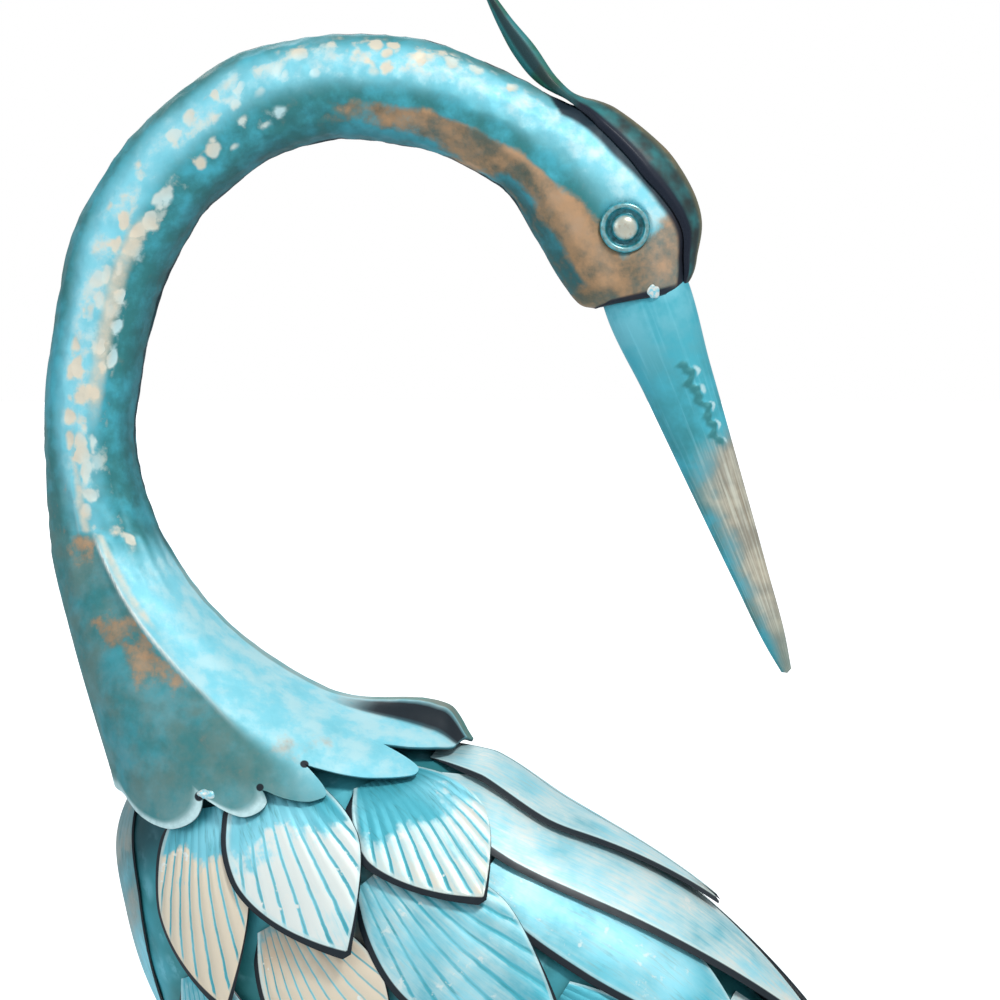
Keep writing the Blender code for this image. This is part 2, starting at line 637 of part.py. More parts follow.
def base():
    """Low oval plate with a chamfered upper edge."""
    turn = np.linspace(0, 2 * np.pi, BASE_SIDES, endpoint=False)[:, None]
    oval = np.concatenate([np.cos(turn) * BASE_LENGTH / 2, np.sin(turn) * BASE_WIDTH / 2, 0 * turn], 1)
    inward = 1 - BASE_CHAMFER * 2 / np.array((BASE_LENGTH, BASE_WIDTH, 1e9))
    bottom = np.array((0, 0, -HIP_HEIGHT))
    rings = [oval + bottom, oval + bottom + (0, 0, BASE_THICKNESS - BASE_CHAMFER),
             oval * inward + bottom + (0, 0, BASE_THICKNESS)]
    return add_object("base", skin("base", rings), "dark_steel", 0.6, 0.5)


def main():
    for thing in list(bpy.data.objects):
        bpy.data.objects.remove(thing, do_unlink=True)
    add_object("body", body_mesh("body"), "teal", 0.5, 0.3)
    head = neck()
    crest()
    bill()
    bpy.context.view_layer.update()
    eye("eye_left", head, -1)
    eye("eye_right", head, 1)
    feathers()
    tail()
    legs(guide("body_cutter", body_mesh("body_cutter", TOUCH)))
    base()
    bpy.context.view_layer.update()


main()
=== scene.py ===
import math

import bpy
import numpy as np
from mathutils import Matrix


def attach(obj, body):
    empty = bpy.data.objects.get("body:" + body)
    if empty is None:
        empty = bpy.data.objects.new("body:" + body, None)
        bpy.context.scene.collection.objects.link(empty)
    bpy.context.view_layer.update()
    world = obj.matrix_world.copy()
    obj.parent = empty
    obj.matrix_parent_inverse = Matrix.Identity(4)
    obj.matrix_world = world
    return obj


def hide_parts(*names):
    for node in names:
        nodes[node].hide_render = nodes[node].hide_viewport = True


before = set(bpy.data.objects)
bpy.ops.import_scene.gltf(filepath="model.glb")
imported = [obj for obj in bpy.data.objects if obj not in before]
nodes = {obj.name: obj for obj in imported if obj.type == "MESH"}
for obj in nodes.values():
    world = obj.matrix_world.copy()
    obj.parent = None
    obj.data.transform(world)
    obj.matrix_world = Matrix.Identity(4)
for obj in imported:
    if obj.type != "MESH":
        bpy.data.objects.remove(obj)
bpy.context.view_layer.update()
print("frame loaded:", len(nodes), "nodes")

# millimetres, measured from the middle of the hips
figure = {
    "hipHeight": 411.6,
    "sheet": 0.8,            # feather sheets
    "lap": 1.45,             # step from one lapped feather to the next
    "sheetGap": 0.8,
    "shinglePitch": 36.0,    # length in which the steepest row rises by two laps
}


# Small helpers: curves, noise and meshes

def hermite(knots, values, s):
    # cubic through the values at the knots, each slope taken from both neighbours
    s = np.clip(np.asarray(s, float), knots[0], knots[-1])
    i = np.clip(np.searchsorted(knots, s, side="right") - 1, 0, len(knots) - 2)
    step = (knots[i + 1] - knots[i])[..., None]
    u = (s - knots[i])[..., None] / step
    slope = np.gradient(values, knots, axis=0)
    rise = (3 * u**2 - 2 * u**3) * (values[i + 1] - values[i]) + values[i]
    return rise + step * ((u**3 - 2 * u**2 + u) * slope[i] + (u**3 - u**2) * slope[i + 1])


def unit(v):
    # the same direction at length 1
    return v / np.maximum(np.linalg.norm(v, axis=-1, keepdims=True), 1e-9)


def smooth(x, low, high):
    # 0 below low, 1 above high, eased between
    t = np.clip((x - low) / (high - low), 0, 1)
    return t * t * (3 - 2 * t)


def scatter(a, b, seed):
    # repeatable random number in 0..1 for each pair of whole numbers
    n = np.sin(a * 127.1 + b * 311.7 + seed * 74.7) * 43758.5453
    return n - np.floor(n)


def softNoise(u, v, seed):
    # random numbers on a square lattice, eased between, in -1..1
    i, j = np.floor(u), np.floor(v)
    x, y = smooth(u - i, 0, 1), smooth(v - j, 0, 1)
    low = scatter(i, j, seed) * (1 - x) + scatter(i + 1, j, seed) * x
    high = scatter(i, j + 1, seed) * (1 - x) + scatter(i + 1, j + 1, seed) * x
    return 2 * (low * (1 - y) + high * y) - 1


def hammered(u, v, wrap, seed):
    # distance to the nearest of a jittered lattice of blows; the lattice closes after wrap rows
    best = np.full(np.broadcast(u, v).shape, 9.0)
    i, j = np.floor(u), np.floor(v)
    for di in (-1, 0, 1):
        for dj in (-1, 0, 1):
            a, b = i + di, j + dj
            x = a + 0.2 + 0.6 * scatter(a, np.mod(b, wrap), seed) - u
            y = b + 0.2 + 0.6 * scatter(a, np.mod(b, wrap), seed + 5) - v
            best = np.minimum(best, np.hypot(x, y))
    return best


def gridNormals(points, closed):
    # cross product of the steps along and round the grid
    along = np.gradient(points, axis=0)
    if closed:
        around = np.roll(points, -1, 1) - np.roll(points, 1, 1)
    else:
        around = np.gradient(points, axis=1)
    return unit(np.cross(around, along))


def gridFaces(rows, columns, closed):
    # quads between neighbouring rows and columns; a closed grid joins its last column to its first
    last = columns if closed else columns - 1
    i, j = np.meshgrid(np.arange(rows - 1), np.arange(last), indexing="ij")
    k = (j + 1) % columns
    corners = (i * columns + j, i * columns + k, (i + 1) * columns + k, (i + 1) * columns + j)
    return np.stack(corners, -1).reshape(-1, 4).tolist()


def putPiece(name, points, faces, replaced, material, attributes=None, uv=None, angle=40):
    # mesh in metres at its place, turned outwards, riding on the root body
    mesh = bpy.data.meshes.new(name)
    placed = (np.asarray(points, float) + (0, 0, figure["hipHeight"])) * 0.001
    first = np.array([f[:3] for f in faces])
    middle = placed.mean(0)
    a, b, c = (placed[first[:, n]] - middle for n in range(3))
    weight = np.array([len(f) - 2 for f in faces])
    if (np.einsum("ij,ij->i", a, np.cross(b, c)) * weight).sum() < 0:
        faces = [f[::-1] for f in faces]
    mesh.from_pydata(placed, [], faces)
    for key, values in (attributes or {}).items():
        layer = mesh.attributes.new(key, "FLOAT", "POINT")
        layer.data.foreach_set("value", np.asarray(values, np.float32).ravel())
    if uv is not None:
        corners = np.zeros(len(mesh.loops), np.int32)
        mesh.loops.foreach_get("vertex_index", corners)
        mesh.uv_layers.new(name="leaf").data.foreach_set("uv", uv[corners].astype(np.float32).ravel())
    mesh.materials.append(material)
    mesh.shade_smooth()
    mesh.set_sharp_from_angle(angle=math.radians(angle))
    piece = bpy.data.objects.new(name, mesh)
    bpy.context.scene.collection.objects.link(piece)
    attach(piece, "root")
    if replaced:
        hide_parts(*replaced)


def closedSkin(rings, start, end):
    # grid of closed rings, with a point that shuts each end
    rows, columns = rings.shape[:2]
    points = np.concatenate([rings.reshape(-1, 3), [start, end]])
    faces = gridFaces(rows, columns, True)
    j = np.arange(columns)
    k = (j + 1) % columns
    top = rows * columns
    faces += np.stack([k, j, 0 * j + top], -1).tolist()
    last = (rows - 1) * columns
    faces += np.stack([last + j, last + k, 0 * j + top + 1], -1).tolist()
    return points, faces


# Shader graphs: arithmetic on sockets

class Wire:
    def __init__(self, graph, socket):
        self.graph = graph
        self.socket = socket

    def math(self, operation, *values):
        return self.graph.add("ShaderNodeMath", {"operation": operation}, dict(enumerate(values)))

    def __add__(self, other):
        return self.math("ADD", self, other)

    def __radd__(self, other):
        return self.math("ADD", other, self)

    def __sub__(self, other):
        return self.math("SUBTRACT", self, other)

    def __rsub__(self, other):
        return self.math("SUBTRACT", other, self)

    def __mul__(self, other):
        return self.math("MULTIPLY", self, other)

    def __rmul__(self, other):
        return self.math("MULTIPLY", other, self)

    def between(self, low, high):
        # 0 at low and 1 at high, eased; low may be the larger
        values = {"Value": self, "From Min": low, "From Max": high}
        return self.graph.add("ShaderNodeMapRange", {"interpolation_type": "SMOOTHSTEP"}, values)


class Graph:
    def __init__(self, name):
        self.material = bpy.data.materials.new(name)
        self.material.use_nodes = True
        self.tree = self.material.node_tree
        self.shader = self.tree.nodes["Principled BSDF"]

    def add(self, kind, settings=None, inputs=None, output=0):
        # a node by its type, its settings and the values or links of its sockets
        node = self.tree.nodes.new(kind)
        for key, value in (settings or {}).items():
            setattr(node, key, value)
        for key, value in (inputs or {}).items():
            self.feed(node.inputs[key], value)
        return Wire(self, node.outputs[output])

    def feed(self, socket, value):
        # a link, a value or a named colour into a socket
        if isinstance(value, Wire):
            self.tree.links.new(value.socket, socket)
        else:
            socket.default_value = colours[value] if isinstance(value, str) else value

    def mix(self, factor, a, b):
        # colour a where the factor is 0, b where it is 1; Mix keeps its colours at sockets 6 and 7
        return self.add("ShaderNodeMix", {"data_type": "RGBA"}, {0: factor, 6: a, 7: b}, 2)

    def brush(self, factor, paint):
        # a further coat over what is there
        self.colour = self.mix(factor, self.colour, paint)

    def place(self):
        return self.add("ShaderNodeTexCoord", output=3)

    def stretch(self, vector, scale):
        return self.add("ShaderNodeMapping", None, {"Vector": vector, "Scale": scale})

    def noise(self, vector, scale, detail=3.0, roughness=0.55):
        inputs = {"Vector": vector, "Scale": scale, "Detail": detail, "Roughness": roughness}
        return self.add("ShaderNodeTexNoise", None, inputs)

    def cells(self, vector, scale):
        return self.add("ShaderNodeTexVoronoi", None, {"Vector": vector, "Scale": scale})

    def also(self, wire, output):
        # a further output of the node that a wire comes from
        return Wire(self, wire.socket.node.outputs[output])

    def read(self, name):
        return self.add("ShaderNodeAttribute", {"attribute_name": name}, None, 2)

    def finish(self, roughness, metallic, bump=None, strength=0.3, distance=0.001, coat=0.0):
        self.feed(self.shader.inputs["Base Color"], self.colour)
        self.feed(self.shader.inputs["Roughness"], roughness)
        self.feed(self.shader.inputs["Metallic"], metallic)
        self.feed(self.shader.inputs["Coat Weight"], coat)
        self.shader.inputs["Coat Roughness"].default_value = 0.25
        if bump is not None:
            settings = {"Height": bump, "Strength": strength, "Distance": distance}
            self.feed(self.shader.inputs["Normal"], self.add("ShaderNodeBump", None, settings))
        return self.material


def linear(code):
    # sRGB hex code to the linear colour that a shader takes
    parts = np.array([int(code[n:n + 2], 16) / 255 for n in (0, 2, 4)])
    low, high = parts / 12.92, ((parts + 0.055) / 1.055) ** 2.4
    return (*np.where(parts <= 0.04045, low, high), 1.0)


colours = {
    "teal": linear("4CB9CB"),
    "deepTeal": linear("328386"),
    "cyan": linear("93E5F5"),
    "paleCyan": linear("D3F2F4"),
    "white": linear("F1F5EF"),
    "cream": linear("F3E2C8"),
    "copper": linear("B2875C"),
    "orange": linear("E0AC7E"),
    "umber": linear("68604B"),
    "charcoal": linear("2B3838"),
    "navy": linear("05152A"),
    "ink": linear("0B1C26"),
    "green": linear("2E6B55"),
    "olive": linear("6F6C52"),
}


# The body: an egg-shaped shell along a bent axis (x, z, half depth, half width)

shell = {
    "stations": np.array([
        (-118, 210, 0, 0), (-107, 191, 40, 34), (-88, 156, 68, 56), (-55.5, 119.5, 88, 64),
        (-11.5, 85.5, 90, 66), (37, 59, 85.5, 62), (88, 21, 73, 52), (134, -27, 55, 39),
        (172, -80, 35, 25), (204, -132, 15, 12), (217, -154, 0, 0),
    ]),
    "rows": 190,
    "around": 160,
    "blow": 13.0,       # size of a hammer mark
    "dent": 0.45,
}
shellSteps = np.linalg.norm(np.diff(shell["stations"][:, :2], axis=0), axis=1)
shellKnots = np.concatenate([[0], np.cumsum(shellSteps)])
shellSpan = shellKnots[-1]

# the bent axis, eased over a few millimetres so that its curvature has no jumps
axisSteps = np.arange(0, shellSpan, 0.5)
easing = np.exp(-((np.arange(-70, 71) / 24) ** 2) / 2)
axisRaw = np.pad(hermite(shellKnots, shell["stations"][:, :2], axisSteps), ((70, 70), (0, 0)), "reflect",
                 reflect_type="odd")
axisLine = np.stack([np.convolve(axisRaw[:, n], easing / easing.sum(), "valid") for n in (0, 1)], -1)
axisHeading = unit(np.gradient(axisLine, axis=0))


def bodyPoint(s, angle):
    # ellipse square to the bent axis at distance s; angle in degrees from the back ridge
    s, angle = np.broadcast_arrays(np.asarray(s, float), np.radians(angle))
    x, z, ahead, rise = (np.interp(s, axisSteps, column) for column in (*axisLine.T, *axisHeading.T))
    size = np.maximum(hermite(shellKnots, shell["stations"][:, 2:], s), 0)
    up = size[..., 0] * np.cos(angle)
    return np.stack([x - up * rise, size[..., 1] * np.sin(angle), z + up * ahead], -1)


def bodySteps(s, angle):
    # change of the surface point for one unit of s and of angle, and the outward normal
    s, angle = np.broadcast_arrays(np.asarray(s, float), np.asarray(angle, float))
    low, high = np.clip(s - 0.5, 0.2, shellSpan), np.clip(s + 0.5, 0, shellSpan - 0.2)
    along = (bodyPoint(high, angle) - bodyPoint(low, angle)) / (high - low)[..., None]
    around = bodyPoint(s, angle + 0.5) - bodyPoint(s, angle - 0.5)
    return along, around, unit(np.cross(along, around))


def overBody(s, angle, height):
    # the body's point, moved out along its normal by height
    return bodyPoint(s, angle) + np.asarray(height)[..., None] * bodySteps(s, angle)[2]


def paintBody():
    # teal paint over rolled sheet, with painted shade on the breast under the collar and on the thighs, and
    # bronze showing through in patches
    graph = Graph("bodyPaint")
    where = graph.place()
    drift = graph.noise(where, 16.0)
    fine = graph.noise(where, 120.0, 4.0)
    graph.colour = graph.mix(drift.between(0.35, 0.65), "deepTeal", "teal")
    graph.brush(graph.read("dent").between(0.45, 0.1) * fine.between(0.45, 0.6) * 0.4, "cyan")
    graph.brush(graph.noise(where, 9.0).between(0.56, 0.7) * fine.between(0.3, 0.6) * 0.6, "copper")
    # painted shade in ink
    graph.brush(graph.read("shade") * 0.75, "ink")
    return graph.finish(0.35 + fine * 0.25, 0.25, fine, 0.2)


def buildBody():
    # rings lie closer together towards both ends, as a cosine; blows of a hammer sink the surface
    s = shellSpan * (0.5 - 0.5 * np.cos(np.linspace(0.12, math.pi - 0.1, shell["rows"])))[:, None]
    angle = np.linspace(0, 360, shell["around"], endpoint=False)[None, :]
    s, angle = np.broadcast_arrays(s, angle)
    blows = round(360 * 1.1 / shell["blow"])
    dent = hammered(s / shell["blow"], angle / 360 * blows, blows, 3)
    height = -shell["dent"] * smooth(0.55 - dent, 0, 0.5)
    points, faces = closedSkin(overBody(s, angle, height), bodyPoint(0, 0), bodyPoint(shellSpan, 0))
    # painted shade on the breast under the collar
    shade = np.concatenate([smooth(62 - s, 0, 20).ravel(), [1, 0]])
    dents = np.concatenate([dent.ravel(), [1, 1]])
    putPiece("shellBody", points, faces, ["body"], paintBody(), {"dent": dents, "shade": shade})


buildBody()
print("body done")


# The neck: head, tube and flared collar. Outer x, z, inner x, z and half width at each place

gooseneck = {
    "stations": np.array([
        (-178.9, 281.4, -131.9, 281.4, 22), (-180.6, 302.4, -139.4, 302.4, 20.5),
        (-181.0, 325.5, -142.0, 325.5, 20), (-178.1, 359.1, -138.2, 352.0, 20),
        (-171.4, 396.9, -131.0, 380.1, 20), (-158.8, 425.5, -121.0, 401.1, 20),
        (-138.6, 451.5, -108.4, 418.7, 20), (-102.9, 479.2, -84.8, 436.8, 20),
        (-71.4, 487.6, -64.7, 443.9, 20), (-46.2, 489.3, -49.6, 445.6, 20),
        (-18.9, 486.8, -29.4, 443.1, 20), (2.1, 479.6, -14.7, 439.7, 19.5),
        (21.0, 471.2, 2.1, 431.8, 19), (37.8, 462.0, 16.8, 421.3, 19),
        (57.1, 453.6, 28.1, 403.2, 19.5), (79.0, 434.7, 36.5, 388.5, 19),
        (92.4, 413.7, 45.4, 376.7, 17), (91.6, 394.0, 52.9, 374.2, 14),
    ]),
    "rim": 17.0,             # place of the head's open end
    "around": 252,
    "tubeRows": 222,
    "flareRows": 64,
    "browRows": 9,
    "brow": 5.5,             # how far the rim reaches past the last station, halfway round
    "browWay": (-0.02, 0, -1.0),
    "flareLength": 150.0,
    "wall": 1.5,
    "socketDepth": 11.0,
    "blow": 8.2,             # size of a hammer mark
    "blowsRound": 15,        # hammer marks round the tube
    "dent": 0.62,
    "clearance": 7.5,        # height of the collar's edge over the body
    "crease": 3.0,           # height of the pressed crease on each side of the flare
    "ridge": 10.5,           # height of the standing ridge along the back of the flare
}

# Eyes: x and z of the middle, half widths of the disc and of the dome, height of the dome
eyes = {
    "centre": (66.4, 408.2),
    "half": 10.5,
    "dome": 5.75,
    "raise": 3.4,
    "sides": 96,
}

# Collar edge, from the back ridge to the breast: column, angle round the body, distance along it
collarReach = np.array([
    (0, 0, 102), (10.6, 7, 102), (21.2, 17, 102), (31.8, 25, 101), (42.4, 32, 100), (52.9, 38, 98),
    (63.5, 47, 94), (74.1, 55, 86), (84.7, 62, 76), (95.3, 70, 69), (105.9, 76, 62), (116.5, 86, 57),
    (127.1, 94, 52), (137.6, 103, 49), (148.2, 113, 46), (158.8, 132, 36), (169.4, 153, 28), (180, 180, 24),
])
# Lobes: first column, share of the flare there, column and share of the tip, last column and share,
# and how round each flank is: 1 is straight, 2 and more bulges
collarLobes = [
    (0, 1.0, 20, 0.955, 38.5, 0.75, 2.0, 1.6),
    (38.5, 0.75, 52, 0.94, 71.5, 0.70, 3.0, 1.2),
    (71.5, 0.70, 88, 0.925, 98, 0.805, 2.3, 1.7),
    (98, 0.805, 115, 0.985, 124, 0.82, 1.9, 1.8),
    (124, 0.82, 146, 0.995, 159, 0.83, 1.8, 2.3),
    (159, 0.83, 170, 0.85, 180, 0.84, 1.5, 1.5),
]
# Drilled ends of the slits between the lobes: column, share and radius
slitHoles = [(71.5, 0.70, 1.7), (98, 0.80, 1.5), (125.5, 0.82, 1.9)]
# Weld blobs: angle round the neck, share of the flare (below 0 on the rim of the head), half sizes
weldBlobs = {"collar": (121, 0.81, (3.4, 2.2, 1.3)), "rim": (108, -1.0, (2.4, 3.4, 1.2))}


def neckRing(place, angle):
    # ellipse between the outer and inner lines; angle 0 is the inner side, 180 the outer
    row = hermite(np.arange(len(gooseneck["stations"])), gooseneck["stations"], place)
    zero = 0 * row[..., 0]
    outer, inner = (np.stack([row[..., n], zero, row[..., n + 1]], -1) for n in (0, 2))
    turn = np.radians(angle)[..., None]
    width = row[..., 4:5] * np.array((0, 1, 0))
    return (outer + inner) / 2 - (outer - inner) / 2 * np.cos(turn) + width * np.sin(turn)


def billAxis():
    # the way in which the bill points, down and back
    return unit(np.array((0.353, 0, -0.936)))


def mirrorAngle(angle):
    # the same angle on the other side of the middle plane, within 0..180
    return np.where(angle > 180, 360 - angle, angle)


def lobeShare(column):
    # each lobe rises from its first notch to its tip and falls to the next, on rounded flanks
    share = np.ones_like(column)
    for first, low, tip, top, last, end, roundOne, roundTwo in collarLobes:
        rise = np.clip((column - first) / (tip - first), 0, 1)
        fall = np.clip((last - column) / (last - tip), 0, 1)
        here = np.where(column < tip, low + (top - low) * (1 - (1 - rise) ** roundOne),
                        end + (top - end) * (1 - (1 - fall) ** roundTwo))
        share = np.where((column >= first) & (column <= last), here, share)
    return share


def flarePoint(share, column):
    # cubic that leaves along the neck and lands along the body, one for each column
    angle = np.interp(column, collarReach[:, 0], collarReach[:, 1])
    reach = np.interp(column, collarReach[:, 0], collarReach[:, 2])
    topAngle = (column + angle) / 2
    here = topAngle + (angle - topAngle) * share
    top = neckRing(0 * topAngle, topAngle)
    landing = overBody(reach, here, gooseneck["clearance"] + 0 * reach)
    back = ((1 + np.cos(np.radians(here))) / 2)[..., None]
    side = np.sin(np.radians(here))[..., None]
    gap = np.linalg.norm(landing - top, axis=-1, keepdims=True)
    leave = unit(back * (0.42, 0, -0.9) + (1 - back) * (0.08, 0, -0.98) + side * (0, 0.35, 0))
    land = unit(bodySteps(reach, here)[0])
    leave, land = leave * (1 + 0.45 * back), land * (0.3 + 0.15 * back)
    u = share[..., None]
    rise = (1 - 3 * u**2 + 2 * u**3) * top + (3 * u**2 - 2 * u**3) * landing
    return rise + gap * ((u**3 - 2 * u**2 + u) * leave + (u**3 - u**2) * land)


def creaseColumn(share):
    # the crease starts beside the tube and swings towards the back before it fades
    return 80 + 29 * np.clip(1 - share / 0.44, 0, 1) ** 1.15


def paintNeck(holes):
    graph = Graph("neckPaint")
    where = graph.place()
    sun, shade, brush = graph.read("sun"), graph.read("shade"), graph.read("brush")
    drift = graph.noise(where, 22.0)
    patch = graph.noise(where, 62.0, 5.0, 0.62)
    fine = graph.noise(where, 260.0, 3.0, 0.65)
    astray = graph.add("ShaderNodeTexNoise", None, {"Vector": where, "Scale": 130.0}, "Color")
    shift = {0: astray, 1: (0.006,) * 3, 2: where}
    shifted = graph.add("ShaderNodeVectorMath", {"operation": "MULTIPLY_ADD"}, shift)
    blows = graph.cells(graph.stretch(shifted, (1, 1, 0.8)), 135.0)
    chance = graph.also(blows, "Color")

    # teal, with painted highlight on the lit sides and painted shade, warmed with a little orange, on the
    # under sides
    mottle = graph.noise(where, 95.0, 4.0, 0.6)
    graph.colour = graph.mix((drift * 0.6 + mottle * 0.5).between(0.42, 0.66), "teal", "deepTeal")
    graph.brush((sun * (0.35 + patch * 0.6 + mottle * 0.5)).between(0.2, 0.9) * 0.9, "cyan")
    pale = (sun * mottle * (0.55 + patch)).between(0.36, 0.7)
    graph.brush(pale * (0.62 + graph.read("arch") * 0.3), "paleCyan")
    graph.brush(shade * (0.2 + drift * 0.45 + mottle * 0.25), "deepTeal")
    graph.brush(shade * patch.between(0.3, 0.65) * 0.13, "orange")
    # painted shade in charcoal on the tube's inner side and under the jaw
    graph.brush(graph.read("dark") * (0.2 + patch * 0.65), "charcoal")

    # bronze: umber, copper and pale orange in patches that let the teal through
    copper = (graph.read("copper") + (drift - 0.5) * 1.6 + (mottle - 0.5) * 1.1).between(0.3, 0.8)
    metal = graph.mix((patch + fine * 0.3).between(0.46, 0.76), "umber", "copper")
    metal = graph.mix((mottle * 0.6 + patch * 0.6).between(0.56, 0.8) * 0.6, metal, "orange")
    # painted highlight: pale orange where the light catches the cheek's bronze
    metal = graph.mix((graph.read("glow") * (0.2 + patch * 1.4)).between(0.35, 0.95) * 0.8, metal, "orange")
    graph.brush(copper * (0.7 + patch * 0.3), metal)
    rust = (graph.read("rust") + (patch - 0.5) * 2.4).between(0.55, 0.95)
    graph.brush(rust * (0.35 + fine * 0.7), metal)

    # dabs of cream and white on the hammered high spots, part dry-brush and part painted highlight, and a
    # longer brushed band
    dabsAndGlints = blows.between(0.6, 0.1) * chance.between(0.28, 0.5) * (0.55 + mottle)
    dabsAndGlints = dabsAndGlints + (mottle * 0.8 + patch * 0.35).between(0.5, 0.72) * 0.55
    smear = (graph.read("band") * (0.3 + mottle * 1.2)).between(0.25, 0.95)
    light = graph.mix(drift.between(0.45, 0.65), "cream", "paleCyan")
    graph.brush((dabsAndGlints * brush.between(0.1, 0.65)).between(0.12, 0.78) * 0.88, light)
    graph.brush(smear * (0.3 + fine * 0.7), "cream")
    graph.brush(graph.read("ridge") * (0.6 + fine * 0.6), "white")
    graph.brush(graph.read("rimLight") * (0.4 + fine), "paleCyan")

    # dark paint and painted shade: the seams of the tube, also shade along its edges; the slot; the band
    # along the crest and the rim; the inside
    # dark seam paint, also painted shade along the tube's edges
    graph.brush(graph.read("seamShade") * (0.45 + patch * 0.7), "ink")
    mossy = graph.mix(patch.between(0.4, 0.62), "green", "olive")
    graph.brush(graph.read("moss") * 0.85, mossy)
    # painted shade in the slot beside the raised back ridge
    graph.brush(graph.read("slotShade"), "ink")
    # navy: dark paint along the crest's edge, with painted shade under that edge and in the gap round the
    # bill
    graph.brush(graph.read("crest") * 0.96, "navy")
    # painted shade on the lip round the bill and on the inside
    graph.brush(graph.read("inside"), "ink")
    parts = graph.add("ShaderNodeSeparateXYZ", None, {0: where})
    beside = graph.also(parts, 1).math("ABSOLUTE", graph.also(parts, 1))
    folded = graph.add("ShaderNodeCombineXYZ", None, {0: parts, 1: beside, 2: graph.also(parts, 2)})
    # painted shade: ink discs where the drilled holes show dark
    for place, radius in holes:
        far = graph.add("ShaderNodeVectorMath", {"operation": "DISTANCE"}, {0: folded, 1: place}, 1)
        graph.brush(far.between(radius * 0.0012, radius * 0.0009), "ink")
    height = fine * 0.25 + blows.between(0.0, 0.6) * (1 - graph.read("calm"))
    return graph.finish(0.52 + fine * 0.24 - sun * 0.05, 0.2, height, 0.4, 0.0008, 0.06)


def buildBlob(name, centre, normal, size, material):
    # flattened ball with two lumps, pressed on along the normal
    first = unit(np.cross(normal, (0, 0, 1)))
    second = np.cross(normal, first)
    rise = np.linspace(0, math.pi, 26)[1:-1, None]
    turn = np.linspace(0, 2 * np.pi, 36, endpoint=False)[None, :]
    lump = 1 + 0.16 * np.cos(2 * turn + 0.6) * np.sin(rise) + 0.08 * np.cos(5 * turn) * np.sin(rise) ** 3
    rings = (centre + first * (size[0] * lump * np.sin(rise) * np.cos(turn))[..., None]
             + second * (size[1] * lump * np.sin(rise) * np.sin(turn))[..., None]
             + normal * (size[2] * np.cos(rise) + 0 * turn)[..., None])
    points, faces = closedSkin(rings, centre + normal * size[2], centre - normal * size[2])
    putPiece(name, points, faces, None, material, angle=60)


def paintBlob():
    # bright weld metal
    graph = Graph("weldPaint")
    fine = graph.noise(graph.place(), 700.0, 3.0)
    graph.colour = graph.mix(fine.between(0.35, 0.6), "cyan", "white")
    return graph.finish(0.35, 0.3, fine, 0.3, 0.0004, 0.2)


